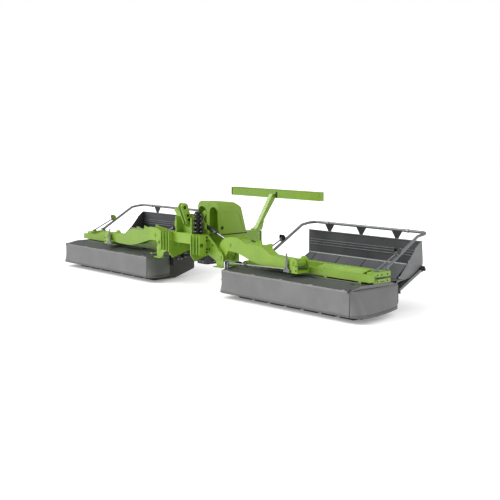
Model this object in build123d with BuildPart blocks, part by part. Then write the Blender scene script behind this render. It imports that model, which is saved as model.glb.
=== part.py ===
from build123d import *
import math
import os

# Rear-mounted disc mower with two folding mowing units.
# +X is the driver's left, +Y is rearward, +Z is up, in millimetres.
# The origin is on the ground, in the middle of the overall length and width.

# Overall reach
front_reach = 150.0          # link brackets ahead of the aprons' front faces
rear_reach = 2560.0          # light bar behind the aprons' front faces
apron_y = (front_reach - rear_reach) / 2


def aft(distance):
    """Y of a point that lies this far behind the aprons' front faces."""
    return apron_y + distance


# Mowing unit, left side; the right side mirrors it
unit_inner = 1200.0          # inner end of a unit from the centre plane
unit_outer = 4400.0          # outer end of a unit from the centre plane
sheet = 6.0                  # covers and skirts
clearance = 0.3              # running gap of pins and seats

# Front apron and skirts
apron_low = 105.0
apron_high = 535.0
apron_thickness = 8.0
apron_hinges = 5
deck_high = 590.0            # top of the flat part of the deck
deck_slope_end = 300.0       # where the sloping front of the deck ends
deck_rear = 1000.0
skirt_rear = 1210.0

# Cutterbar, discs and blades
disc_count = 7
disc_pitch = 425.0
disc_y = 500.0
bar_front = 330.0
bar_rear = 700.0
bar_low = 30.0
bar_high = 85.0
blade_tip_radius = 255.0
disc_half_length = 185.0
disc_half_width = 125.0
disc_edge = 12.0
disc_dome = 46.0
blade_thickness = 5.0
blade_width = 48.0
hub_radius = 62.0
hub_height = 16.0
skid_width = 300.0
skid_front = 240.0
skid_rear = 740.0
end_wall = 12.0
end_wall_inset = 35.0        # from the unit's ends to the cutterbar's end walls

# Conditioner rotor
rotor_y = 1120.0
rotor_z = 310.0
rotor_tube_radius = 60.0
tine_tip_radius = 205.0
tine_width = 34.0
tine_thickness = 12.0
tine_stations = 22
tines_round = 3
rotor_stub_radius = 28.0

# Carrier beam of a unit
beam_inner = 1420.0
front_tube = (480.0, 620.0, 625.0, 740.0)     # y low, y high, z low, z high
rear_tube = (830.0, 950.0, 660.0, 780.0)
cover_sheet = 8.0
saddle_width = 60.0
end_block_width = 155.0
end_block_front = 586.0
end_block_rear = 1010.0
end_block_low = 592.0
end_block_high = 780.0
end_slot = (660.0, 695.0)        # z low, z high

# Fold hinge of the arm on the headstock
hinge_x = 960.0
hinge_z = 730.0
hinge_boss_radius = 95.0
hinge_pin_radius = 35.0
arm_front = 210.0
arm_rear = 430.0
arm_plate = 20.0
arm_slot_end = 1480.0
wing_gap = 30.0              # arm plate to wing plate
wing_plate = 20.0
foot_reach = 105.0           # foot flange past the hinge, clear of the skirt

# Tilt pivot of a unit on its arm
tilt_x = 2910.0
tilt_z = 825.0
tilt_boss_radius = 70.0
tilt_pin_radius = 30.0
tilt_gap = 20.0              # arm plate to bracket plate
bracket_plate = 20.0
bracket_half_low = 125.0
bracket_half_high = 45.0
bracket_high = 930.0
bracket_base = (650.0, 695.0)    # z low, z high

# Lift cylinder
lift_base_x = 100.0
lift_base_z = 1364.0
lift_eye_x = 1190.0
lift_eye_z = 985.0
lift_y = 320.0
barrel_radius = 40.0
barrel_length = 620.0
rod_radius = 20.0
rod_tail = 500.0
eye_radius = 42.0
eye_width = 56.0
eye_pin_radius = 20.0

# Headstock
cross_half = 560.0
cross_front = 40.0
cross_rear = 200.0
cross_low = 930.0
cross_high = 1130.0
rail_x = 300.0
rail_width = 120.0
rail_low = 900.0
rail_high = 1060.0
rail_rear = 1560.0
spine_half = 110.0            # centre beam behind the rails
spine_rear = 1960.0
leg_y = 1500.0
leg_half = 37.5
leg_x = 410.0
tower_plate = 20.0
tower_side = 30.0
tower_half = 255.0
tower_round = 60.0
carrier_half = 400.0         # plates beside the tower
tower_high = 1500.0

# Three-point hitch, category 3
link_span = 965.0            # between the middles of the lower link pins
link_z = 940.0
link_y = -5.0
link_hole_radius = 18.5
link_plate = 20.0
link_plate_low = 740.0       # lower ends of the short plates
top_link_z = 1630.0
top_link_y = 35.0
top_hole_radius = 16.1
top_lug_gap = 60.0
top_lug = 30.0
top_lug_round = 85.0

# Drive line
gearbox_half = 170.0
gearbox_front = 490.0
gearbox_rear = 900.0
gearbox_low = 480.0
gearbox_flange_low = 860.0
drive_y = 720.0
drive_z = 620.0
neck_end = 230.0
neck_radius = 70.0
pto_z = 640.0
pto_radius = 17.45
pto_tip = 300.0
pto_spline = 90.0
spline_depth = 5.0
spline_groove = 2.6
pto_shoulder_radius = 24.0
unit_box_inner = 1060.0
unit_box_z = 520.0

# Conveyor and its guards
collector_inner = 1440.0
collector_outer = 4210.0
belt_front = (1420.0, 375.0)     # y, z of the belt's front edge, middle of its thickness
belt_rear = (2060.0, 690.0)
roller_radius = 45.0
belt_thickness = 6.0
roller_overhang = 12.0       # rollers past the belt's edges
rail_thickness = 20.0
rail_depth = 80.0
bed_depth = 12.0             # slider bed between the belt's two runs
wall_low = 722.0
wall_high = 1180.0
wall_y = 2060.0
wall_thickness = 8.0
wall_ribs = (905.0, 955.0, 1000.0)
bar_y = 1668.0
bar_z = 800.0
bar_radius = 20.0
bar_inner = 1850.0

side_tube_x = 4252.0         # outer side tube of the belt's frame
side_tube_radius = 27.0

# Guard hoop
hoop_radius = 27.0
hoop_inner = 1510.0
hoop_outer = 4330.0
hoop_foot = (975.0, 812.0)       # y, z
brace_radius = 13.0
brace_foot = (720.0, 802.0)
brace_top = (1262.0, 1052.0)
hoop_knee = (1800.0, 1290.0)
hoop_top = (2090.0, 1330.0)

# Outer skirt, bulging outwards towards the ground
skirt_bulge_y = 280.0
skirt_bulge_low = 230.0
skirt_bulge_high = 40.0
skirt_thickness = 8.0
inner_skirt_rear = 590.0
inner_bulge_y = 300.0
inner_bulge_low = 165.0
inner_bulge_high = 15.0

# Level indicator on the unit's front
lever_x = 2790.0
lever_y = 140.0
lever_low = 658.0
lever_top = 990.0
lever_rod_radius = 11.0
lever_rod_ends = (658.0, 714.0)  # z at the inner foot and at the blade
lever_clamp_x = 1700.0
foot_inner = 1208.0

# Hood, mast and light bar
hood_half = 320.0
hood_front = 655.0
hood_rear = 1405.0
hood_high = 1722.0
hood_sheet = 6.0
hood_round = 140.0
recess_half = 122.0          # arched recesses in the hood's front
recess_x = 178.0
recess_high = 1490.0
recess_depth = 200.0
keyhole_y = 760.0
keyhole_z = 1210.0
keyhole_radius = 26.0
mast_half = 50.0
mast_depth = 62.0
mast_foot = (1955.0, 1060.0)     # y, z
light_half = 1355.0
light_low = 1705.0
light_high = 1884.0
light_channel = 120.0         # depth of the light bar's channel
light_front = rear_reach - light_channel
mast_top = (light_front - 38, 1790.0)

os.makedirs("parts", exist_ok=True)


def save(part, name):
    """Label a finished piece and write it to its own file."""
    part.label = name
    export_step(part, f"parts/{name}.step")


def save_both(part, name):
    """Write a piece of the left unit and its mirror image on the right."""
    save(part, "left_" + name)
    save(mirror(part, about=Plane.YZ), "right_" + name)


def block(x0, x1, y0, y1, z0, z1, mode=Mode.ADD):
    """A box between two corners, with y measured behind the aprons."""
    middle = ((x0 + x1) / 2, aft((y0 + y1) / 2), (z0 + z1) / 2)
    with Locations(middle):
        Box(x1 - x0, y1 - y0, z1 - z0, mode=mode)


def plane_at_y(distance):
    """Plane facing rearward, with its x along +X and its y along +Z."""
    return Plane(origin=(0, aft(distance), 0), x_dir=(1, 0, 0), z_dir=(0, -1, 0))


def plane_at_x(x):
    """Plane facing +X, with its x along +Y, from the aprons back, and its y along +Z."""
    return Plane(origin=(x, apron_y, 0), x_dir=(0, 1, 0), z_dir=(1, 0, 0))


# Headstock frame: crossbeam, rails, tower, wings for the arms and link brackets
wing_front = arm_front - wing_gap
wing_rear = arm_rear + wing_gap
wing_outline = [
    (300, 1125), (600, 1125), (1010, 835), (hinge_x + 100, hinge_z),
    (hinge_x + 95, 560), (880, 548), (835, 655), (430, 830), (300, 830),
]
bracket_offsets = (-130.0, -50.0, 50.0, 130.0)
short_bracket = [
    (link_y - 60, cross_high), (link_y - 60, link_plate_low + 20), (0, link_plate_low),
    (wing_front, link_plate_low + 60), (wing_front, cross_high),
]
deep_bracket = [
    (link_y - 60, cross_high), (link_y - 60, link_plate_low), (30, link_plate_low - 130),
    (500, link_plate_low), (500, 1000), (cross_rear, cross_high),
]
with BuildPart() as headstock_frame:
    block(-cross_half, cross_half, cross_front, cross_rear, cross_low, cross_high)
    for side in (-1, 1):
        middle = side * rail_x
        half = rail_width / 2
        block(middle - half, middle + half, cross_rear, rail_rear, rail_low, rail_high)
    block(-rail_x, rail_x, rail_rear - 160, rail_rear, rail_low, rail_high)
    block(-spine_half, spine_half, rail_rear, spine_rear, rail_low, rail_high)
    # Tower: rear plate and two side plates, open to the front
    with BuildSketch(plane_at_y(cross_rear)):
        Polygon(
            (-tower_half, cross_high), (tower_half, cross_high), (tower_half, tower_high),
            (-tower_half, tower_high), align=None,
        )
        fillet(vertices().group_by(Axis.Y)[-1], tower_round)
    extrude(amount=tower_plate)
    for side in (-1, 1):
        inner, outer = sorted((side * (tower_half - tower_side), side * tower_half))
        block(inner, outer, cross_front, cross_rear, cross_high, tower_high - tower_round)
    # Mount of the lift cylinders: middle web and rear plate
    block(-25, 25, cross_rear, lift_y + 80, cross_high - 70, lift_base_z + 90)
    block(-170, 170, lift_y + 80, lift_y + 100, lift_base_z - 110, lift_base_z + 90)
    for side in (-1, 1):
        with BuildSketch(plane_at_y(lift_y + 80)):
            with Locations((side * lift_base_x, lift_base_z)):
                Circle(eye_pin_radius)
        extrude(amount=lift_y + 80 - cross_rear)
    # Sleeve of the parking leg
    sleeve = leg_half + 12
    block(-leg_x - sleeve, -rail_x - rail_width / 2, leg_y - sleeve, leg_y + sleeve,
          rail_low - 40, rail_high)
    slot = leg_half + clearance
    block(-leg_x - slot, -leg_x + slot, leg_y - slot, leg_y + slot, rail_low - 60,
          rail_high + 20, mode=Mode.SUBTRACT)
    # Seat of the light mast
    block(-90, 90, mast_foot[0] - 75, spine_rear, rail_high, rail_high + 22)
save(headstock_frame.part, "headstock_frame")

# Top link arm: two lugs that lean forward out of the tower, with a spacer between them
with BuildPart() as top_link_arm:
    for side in (-1, 1):
        x = side * (top_lug_gap / 2 + top_lug / 2)
        with BuildSketch(plane_at_x(x)):
            with BuildLine():
                Polyline(
                    (top_link_y - top_lug_round, top_link_z), (80, 1310),
                    (cross_rear - tower_plate, 1240), (cross_rear - tower_plate, 1440),
                    (top_link_y + top_lug_round, top_link_z),
                )
                ThreePointArc(
                    (top_link_y + top_lug_round, top_link_z),
                    (top_link_y, top_link_z + top_lug_round),
                    (top_link_y - top_lug_round, top_link_z),
                )
            make_face()
            with Locations((top_link_y, top_link_z)):
                Circle(top_hole_radius, mode=Mode.SUBTRACT)
        extrude(amount=top_lug / 2, both=True)
    block(-top_lug_gap / 2, top_lug_gap / 2, 100, 160, 1350, 1450)
save(top_link_arm.part, "top_link_arm")

# Lower link brackets: four plates each side of the crossbeam
with BuildPart() as hitch_brackets:
    for side in (-1, 1):
        for place in bracket_offsets:
            x = side * (link_span / 2 + place)
            deep = place == bracket_offsets[0]
            with BuildSketch(plane_at_x(x)):
                Polygon(*(deep_bracket if deep else short_bracket), align=None)
                with Locations((link_y, link_z)):
                    Circle(link_hole_radius, mode=Mode.SUBTRACT)
            extrude(amount=link_plate / 2, both=True)
    add(headstock_frame.part, mode=Mode.SUBTRACT)
save(hitch_brackets.part, "hitch_brackets")

# Wings with the arms' hinge pins, foot flanges, and the arms that hold the cylinders' bases
cylinder_arm = [
    (tower_half - 60, 1180), (400, 1140), (500, 1235), (490, 1330), (370, 1390), (510, 1545),
    (460, 1595), (tower_half - 60, 1400),
]
with BuildPart() as hinge_pins:
    for side in (-1, 1):
        with BuildSketch(plane_at_y(wing_rear + wing_plate)):
            with Locations((side * hinge_x, hinge_z)):
                Circle(hinge_pin_radius)
        extrude(amount=wing_rear - wing_front + 2 * wing_plate)
save(hinge_pins.part, "hinge_pins")

with BuildPart() as wing_plates:
    for side in (-1, 1):
        for y in (wing_front, wing_rear + wing_plate):
            with BuildSketch(plane_at_y(y)):
                Polygon(*[(side * x, z) for x, z in wing_outline], align=None)
                with Locations((side * hinge_x, hinge_z)):
                    Circle(100)
            extrude(amount=wing_plate)
        inner, outer = sorted((side * 835, side * (hinge_x + foot_reach)))
        block(inner, outer, 90, wing_front, 545, 562)
        inner, outer = sorted((side * hinge_x, side * (hinge_x + 190)))
        block(inner, outer, wing_rear, wing_rear + wing_plate, 640, 810)
        with BuildSketch(plane_at_y(cross_rear + 20)):
            Polygon(*[(side * x, z) for x, z in cylinder_arm], align=None)
        extrude(amount=20)
        # Plate beside the tower
        inner, outer = sorted((side * tower_half, side * carrier_half))
        block(inner, outer, cross_rear - 20, cross_rear, cross_high, 1394)
    add(headstock_frame.part, mode=Mode.SUBTRACT)
    add(hitch_brackets.part, mode=Mode.SUBTRACT)
    add(hinge_pins.part, mode=Mode.SUBTRACT)
save(wing_plates.part, "wing_plates")

# Main gearbox under the rails
with BuildPart() as main_gearbox:
    block(-gearbox_half, gearbox_half, gearbox_front, gearbox_rear, gearbox_low,
          gearbox_flange_low)
    fillet(main_gearbox.edges().filter_by(Axis.Z), 50)
    block(-340, 340, 540, 840, gearbox_flange_low, rail_low)
    for side in (-1, 1):
        with BuildSketch(Plane(origin=(side * gearbox_half, aft(drive_y), drive_z),
                               x_dir=(0, 1, 0), z_dir=(side, 0, 0))):
            Circle(neck_radius)
        extrude(amount=neck_end - gearbox_half)
    with BuildSketch(plane_at_y(gearbox_front)):
        with Locations((0, pto_z)):
            Circle(90)
    extrude(amount=40)
    with BuildSketch(plane_at_y(gearbox_front)):
        with Locations((0, pto_z)):
            Circle(pto_shoulder_radius + clearance)
    extrude(amount=40, mode=Mode.SUBTRACT)
save(main_gearbox.part, "main_gearbox")

# Input shaft: shoulder, then the free end with six splines
with BuildPart() as pto_shaft:
    with BuildSketch(plane_at_y(pto_tip + pto_spline)):
        with Locations((0, pto_z)):
            Circle(pto_radius)
            with PolarLocations(pto_radius, 6):
                Rectangle(spline_depth, spline_groove, mode=Mode.SUBTRACT)
    extrude(amount=pto_spline)
    with BuildSketch(plane_at_y(gearbox_front - clearance)):
        with Locations((0, pto_z)):
            Circle(pto_shoulder_radius)
    extrude(amount=gearbox_front - clearance - pto_tip - pto_spline)
save(pto_shaft.part, "pto_shaft")

# Guard cup round the input shaft
with BuildPart() as pto_guard:
    with BuildSketch(plane_at_y(gearbox_front - 40)):
        with Locations((0, pto_z)):
            Circle(88)
            Circle(82, mode=Mode.SUBTRACT)
    extrude(amount=150)
save(pto_guard.part, "pto_guard")

# Hood over the frame: a rounded shell, open below, with two arched recesses in front


def hood_form(inset):
    """The hood's outer form, or the hollow in it where it is drawn in by the sheet."""
    low = rail_high + clearance - inset
    high = hood_high - inset
    half = hood_half - inset
    turn = hood_round - inset
    with BuildPart() as form:
        with BuildSketch(plane_at_x(-half)):
            Polygon(
                (hood_front + 15 + inset, low), (hood_front + inset, high),
                (1100, high - 25), (1250 - inset, 1595 - inset), (hood_rear - inset, low),
                align=None,
            )
            fillet(vertices().filter_by(lambda v: v.Y > 1550 and v.X > 900), 90)
        extrude(amount=2 * half)
        with BuildSketch(plane_at_y(hood_front - 20)):
            for side in (-1, 1):
                with BuildLine():
                    Polyline(
                        (side * half, high - turn), (side * (half + 20), high - turn),
                        (side * (half + 20), high + 20), (side * (half - turn), high + 20),
                        (side * (half - turn), high),
                    )
                    ThreePointArc(
                        (side * (half - turn), high),
                        (side * (half - 0.293 * turn), high - 0.293 * turn),
                        (side * half, high - turn),
                    )
                make_face()
        extrude(amount=hood_front - hood_rear - 40, mode=Mode.SUBTRACT)
        for side in (-1, 1):
            with BuildSketch(plane_at_y(hood_front + recess_depth + inset)):
                with Locations((side * recess_x, recess_high)):
                    Circle(recess_half + inset)
                with Locations((side * recess_x, (low + recess_high) / 2)):
                    Rectangle(2 * (recess_half + inset), recess_high - low + 1)
            extrude(amount=recess_depth + 40, mode=Mode.SUBTRACT)
    return form.part


with BuildPart() as hood:
    add(hood_form(0))
    add(hood_form(hood_sheet), mode=Mode.SUBTRACT)
    # Keyholes for the latches in the side panels
    with BuildSketch(plane_at_x(-hood_half - 10)):
        with Locations((keyhole_y, keyhole_z)):
            Circle(keyhole_radius)
        with Locations((keyhole_y, keyhole_z - keyhole_radius)):
            Rectangle(0.8 * keyhole_radius, 2 * keyhole_radius)
    extrude(amount=2 * hood_half + 20, mode=Mode.SUBTRACT)
save(hood.part, "hood")

# Valve block and hose couplings beside the tower
with BuildPart() as hydraulic_block:
    block(275, 395, 110, 178, cross_high + clearance, 1560)
    for row in range(5):
        with BuildSketch(plane_at_y(110)):
            with Locations((305, 1180 + 82 * row), (360, 1180 + 82 * row)):
                Circle(19)
        extrude(amount=45)
        with BuildSketch(plane_at_x(395)):
            with Locations((145, 1180 + 82 * row)):
                Circle(15)
        extrude(amount=35)
save(hydraulic_block.part, "hydraulic_block")

# Mast of the light bar: box tube leaning rearward
with BuildPart() as light_mast:
    with BuildSketch(plane_at_x(-mast_half)):
        half = mast_depth * 0.6
        Polygon(
            (mast_foot[0] - half, rail_high + 22), (mast_foot[0] + half, rail_high + 22),
            (light_front, mast_top[1] - 100), (light_front, mast_top[1]),
            (mast_top[0] - half, mast_top[1]), align=None,
        )
    extrude(amount=2 * mast_half)
save(light_mast.part, "light_mast")

# Light bar: channel open to the rear
with BuildPart() as light_bar:
    block(-light_half, light_half, light_front, light_front + 6, light_low, light_high)
    block(-light_half, light_half, light_front, rear_reach, light_low, light_low + 6)
    block(-light_half, light_half, light_front, rear_reach, light_high - 6, light_high)
    for side in (-1, 1):
        inner, outer = sorted((side * (light_half - 6), side * light_half))
        block(inner, outer, light_front, rear_reach, light_low, light_high)
save(light_bar.part, "light_bar")

# Tail lamps in the channel's ends
with BuildPart() as tail_lamps:
    for side in (-1, 1):
        x = side * (light_half - 130)
        block(x - 110, x + 110, light_front + 6 + clearance, rear_reach - 20,
              light_low + 25, light_high - 25)
save(tail_lamps.part, "tail_lamps")

# Parking leg
with BuildPart() as parking_leg:
    block(-leg_x - leg_half, -leg_x + leg_half, leg_y - leg_half, leg_y + leg_half, 0, 1090)
    block(-leg_x - 100, -leg_x + 100, leg_y - 100, leg_y + 100, 0, 12)
save(parking_leg.part, "parking_leg")

# Arm: gooseneck of two plates, closed into a box beyond the lift cylinder
arm_low = [
    (tilt_x + 60, 880), (tilt_x + 60, 775), (2700, 722), (2610, 704), (2141, 690),
    (2007, 706), (1790, 744), (1624, 795), (1480, 835), (1370, 862), (1150, 872),
    (1055, 730),
]
arm_outline = [
    (865, 745), (905, 985), (965, 1050), (1056, 1108), (1200, 1136), (1330, 1138),
    (1457, 1120), (1624, 1045), (2060, 1042), (2310, 905), (2600, 886),
] + arm_low
toothed_outline = [
    (865, 745), (905, 985), (1056, 1108), (1330, 1138), (1430, 1168), (1452, 1100),
    (1640, 1046), (1800, 1104), (1848, 1112), (1862, 1020), (2080, 1070), (2127, 1074),
    (2138, 935), (2378, 862), (2600, 862),
] + arm_low
with BuildPart() as arm:
    with BuildSketch(plane_at_y(arm_rear - arm_plate)):
        Polygon(*arm_outline, align=None)
        with Locations((hinge_x, hinge_z)):
            Circle(hinge_boss_radius)
    extrude(amount=arm_rear - arm_plate - arm_front)
    with BuildSketch(plane_at_y(arm_rear)):
        Polygon(*toothed_outline, align=None)
        with Locations((hinge_x, hinge_z)):
            Circle(hinge_boss_radius)
    extrude(amount=arm_plate)
    block(800, arm_slot_end, arm_front + arm_plate, arm_rear - arm_plate, 600, 1200,
          mode=Mode.SUBTRACT)
    # Hinge boss on the headstock
    with BuildSketch(plane_at_y(wing_rear - 2)):
        with Locations((hinge_x, hinge_z)):
            Circle(hinge_boss_radius - 20)
    extrude(amount=wing_rear - wing_front - 4)
    # Boss at the unit's end
    with BuildSketch(plane_at_y(arm_rear + 15)):
        with Locations((tilt_x, tilt_z)):
            Circle(tilt_boss_radius)
    extrude(amount=arm_rear - arm_front + 30)
    with BuildSketch(plane_at_y(wing_rear)):
        with Locations((hinge_x, hinge_z)):
            Circle(hinge_pin_radius + clearance)
        with Locations((tilt_x, tilt_z)):
            Circle(tilt_pin_radius + clearance)
    extrude(amount=wing_rear - wing_front, mode=Mode.SUBTRACT)
    # Ends of the lift cylinder's pin
    for y in (arm_rear + 12, arm_front):
        with BuildSketch(plane_at_y(y)):
            with Locations((lift_eye_x, lift_eye_z)):
                Circle(34)
        extrude(amount=12)
save_both(arm.part, "arm")

# Lift cylinder, along its own axis from the base eye to the rod's eye
lift_dx = lift_eye_x - lift_base_x
lift_dz = lift_eye_z - lift_base_z
lift_length = math.hypot(lift_dx, lift_dz)
lift_axis = (lift_dx / lift_length, 0, lift_dz / lift_length)
lift_base = (lift_base_x, aft(lift_y), lift_base_z)


def lift_plane(distance):
    """Plane across the cylinder at this distance from its base eye."""
    origin = (
        lift_base[0] + distance * lift_axis[0], lift_base[1],
        lift_base[2] + distance * lift_axis[2],
    )
    return Plane(origin=origin, x_dir=(0, 1, 0), z_dir=lift_axis)


with BuildPart() as lift_barrel:
    with BuildSketch(lift_plane(20)):
        Circle(barrel_radius)
    extrude(amount=barrel_length - 20)
    with BuildSketch(plane_at_y(lift_y)):
        with Locations((lift_base_x, lift_base_z)):
            Circle(eye_radius)
    extrude(amount=eye_width / 2, both=True)
    with BuildSketch(plane_at_y(lift_y)):
        with Locations((lift_base_x, lift_base_z)):
            Circle(eye_pin_radius + clearance)
    extrude(amount=eye_width, both=True, mode=Mode.SUBTRACT)
    with BuildSketch(lift_plane(68)):
        Circle(rod_radius + clearance)
    extrude(amount=barrel_length, mode=Mode.SUBTRACT)
save_both(lift_barrel.part, "lift_barrel")

with BuildPart() as lift_rod:
    with BuildSketch(lift_plane(rod_tail)):
        Circle(rod_radius)
    extrude(amount=lift_length - rod_tail - 20)
    with BuildSketch(plane_at_y(lift_y)):
        with Locations((lift_eye_x, lift_eye_z)):
            Circle(eye_radius)
    extrude(amount=eye_width / 2, both=True)
    with BuildSketch(plane_at_y(lift_y)):
        with Locations((lift_eye_x, lift_eye_z)):
            Circle(eye_pin_radius)
    extrude(amount=eye_width, both=True, mode=Mode.SUBTRACT)
save_both(lift_rod.part, "lift_rod")

# Drive shaft to the unit, with its guard tube and universal joints
shaft_ball = 46.0            # radius of the inner joint's eye
shaft_start = (neck_end + shaft_ball + clearance, aft(drive_y), drive_z)
shaft_dx = 985.0 - shaft_start[0]
shaft_dz = unit_box_z + 6 - drive_z
shaft_length = math.hypot(shaft_dx, shaft_dz)
shaft_axis = (shaft_dx / shaft_length, 0, shaft_dz / shaft_length)


def shaft_plane(distance):
    """Plane across the drive shaft at this distance from its inner joint."""
    origin = (
        shaft_start[0] + distance * shaft_axis[0], shaft_start[1],
        shaft_start[2] + distance * shaft_axis[2],
    )
    return Plane(origin=origin, x_dir=(0, 1, 0), z_dir=shaft_axis)


shaft_sections = [
    # start, length, radius
    (0.0, 60.0, 34.0), (56.0, 60.0, 62.0), (116.0, 280.0, 44.0),
    (396.0, 200.0, 36.0), (596.0, 50.0, 58.0),
]
with BuildPart() as drive_shaft:
    for start, length, radius in shaft_sections:
        with BuildSketch(shaft_plane(start)):
            Circle(radius)
        extrude(amount=length)
    with BuildSketch(shaft_plane(646)):
        Circle(40)
    extrude(amount=shaft_length - 646)
    with BuildSketch(plane_at_y(drive_y)):
        with Locations((shaft_start[0], shaft_start[2])):
            Circle(shaft_ball)
    extrude(amount=40, both=True)
save_both(drive_shaft.part, "drive_shaft")

# Unit frame: two tubes, saddles on the deck, end block and tilt bracket
saddle_xs = (beam_inner + 60, 2100.0, 3400.0, unit_outer - end_block_width - 60)
cover_span = (tilt_x + 150, unit_outer - end_block_width - 130)
bracket_front = arm_front - tilt_gap - bracket_plate
bracket_rear = arm_rear + tilt_gap
with BuildPart() as unit_frame:
    block(beam_inner, unit_outer, *front_tube)
    block(beam_inner, unit_outer - 10, *rear_tube)
    for x in saddle_xs:
        half = saddle_width / 2
        block(x - half, x + half, front_tube[0], front_tube[1], deck_high, front_tube[2])
        block(x - half, x + half, rear_tube[0], rear_tube[1], deck_high, rear_tube[2])
        block(x - half, x + half, front_tube[1], rear_tube[0], 640, 700)
    block(unit_outer - end_block_width, unit_outer, end_block_front, end_block_rear,
          end_block_low, end_block_high)
    block(hoop_inner - 60, hoop_inner + 60, front_tube[1], end_block_rear, 700,
          end_block_high)
    # Cover plate between the two tubes
    with BuildSketch(plane_at_x(cover_span[0])):
        Polygon(
            (front_tube[1], front_tube[3]), (rear_tube[0], rear_tube[3]),
            (rear_tube[0], rear_tube[3] - cover_sheet),
            (front_tube[1], front_tube[3] - cover_sheet), align=None,
        )
    extrude(amount=cover_span[1] - cover_span[0])
    # End block: a slot between two lugs, and a pocket at its front
    block(unit_outer - 70, unit_outer + 1, 660, end_block_rear + 1, *end_slot,
          mode=Mode.SUBTRACT)
    block(unit_outer - 40, unit_outer + 1, 606, 628, 610, 720, mode=Mode.SUBTRACT)
    # Foot plate along the deck's inner edge and its strap to the beam
    block(foot_inner, foot_inner + 60, 150, 750, deck_high, deck_high + 22)
    block(foot_inner + 60, beam_inner, 500, 600, deck_high, front_tube[2] + 40)
    # Tilt bracket: front and rear plates, joined under the arm
    for y in (bracket_front + bracket_plate, bracket_rear + bracket_plate):
        with BuildSketch(plane_at_y(y)):
            Polygon(
                (tilt_x - bracket_half_low, bracket_base[0]),
                (tilt_x + bracket_half_low, bracket_base[0]),
                (tilt_x + bracket_half_low - 20, tilt_z + 40),
                (tilt_x + bracket_half_high, bracket_high),
                (tilt_x - bracket_half_high, bracket_high),
                (tilt_x - bracket_half_low + 20, tilt_z + 40), align=None,
            )
        extrude(amount=bracket_plate)
    block(tilt_x - bracket_half_low, tilt_x + bracket_half_low, bracket_front,
          front_tube[1], *bracket_base)
    with BuildSketch(plane_at_y(bracket_rear + bracket_plate)):
        with Locations((tilt_x, tilt_z)):
            Circle(tilt_pin_radius)
    extrude(amount=bracket_rear - bracket_front + bracket_plate)
save_both(unit_frame.part, "unit_frame")

# Deck over the discs
with BuildPart() as deck:
    with BuildSketch(plane_at_x(unit_inner + 8)):
        Polygon(
            (apron_thickness + clearance, apron_high), (deck_slope_end, deck_high),
            (deck_rear, deck_high), (deck_rear, deck_high - sheet),
            (deck_slope_end, deck_high - sheet), (apron_thickness + clearance, apron_high - sheet),
            align=None,
        )
    extrude(amount=unit_outer - unit_inner - 16)
save_both(deck.part, "deck")

# Front apron
with BuildPart() as front_apron:
    block(unit_inner, unit_outer, 0, apron_thickness, apron_low, apron_high + 4)
    for i in range(apron_hinges):
        x = unit_inner + 100 + i * (unit_outer - unit_inner - 280) / (apron_hinges - 1)
        with BuildSketch(Plane(origin=(x, aft(apron_thickness / 2), apron_high + 8),
                               x_dir=(0, 1, 0), z_dir=(1, 0, 0))):
            Circle(6)
        extrude(amount=80)
save_both(front_apron.part, "front_apron")

# Side skirts: the outer one bulges outwards, the inner one is flat and short
skirt_front = aft(apron_thickness + clearance)
# x of the flat edge, outward direction, rear, widest place, stand-out low and high
skirt_table = (
    (unit_outer, 1, skirt_rear, skirt_bulge_y, skirt_bulge_low, skirt_bulge_high),
    (unit_inner, -1, inner_skirt_rear, inner_bulge_y, inner_bulge_low, inner_bulge_high),
)
with BuildPart() as side_skirts:
    for edge, out, rear, widest, bulge_low, bulge_high in skirt_table:
        back = aft(rear)
        peak = aft(widest)
        early = (skirt_front + peak) / 2 - 0.14 * widest
        late = (peak + back) / 2 - 0.06 * (rear - widest)
        inner = edge - out * skirt_thickness
        for level, bulge in ((apron_low, out * bulge_low), (apron_high, out * bulge_high)):
            with BuildSketch(Plane.XY.offset(level)):
                with BuildLine():
                    ThreePointArc((edge, skirt_front), (edge + 0.72 * bulge, early),
                                  (edge + bulge, peak))
                    ThreePointArc((edge + bulge, peak), (edge + 0.74 * bulge, late),
                                  (edge, back))
                    Line((edge, back), (inner, back))
                    ThreePointArc((inner, back), (inner + 0.74 * bulge, late),
                                  (inner + bulge, peak))
                    ThreePointArc((inner + bulge, peak), (inner + 0.72 * bulge, early),
                                  (inner, skirt_front))
                    Line((inner, skirt_front), (edge, skirt_front))
                make_face()
        loft(ruled=True)
    with BuildSketch(plane_at_x(unit_outer - skirt_thickness)):
        Polygon(
            (apron_thickness + clearance, apron_high), (skirt_rear, apron_high),
            (deck_rear, deck_high), (deck_slope_end, deck_high), align=None,
        )
    extrude(amount=skirt_thickness + skirt_bulge_high * 0.3)
    with BuildSketch(plane_at_x(unit_inner - inner_bulge_high * 0.3)):
        Polygon(
            (apron_thickness + clearance, apron_high), (inner_skirt_rear, apron_high),
            (inner_skirt_rear, deck_high), (deck_slope_end, deck_high), align=None,
        )
    extrude(amount=skirt_thickness + inner_bulge_high * 0.3)
save_both(side_skirts.part, "side_skirts")

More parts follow.
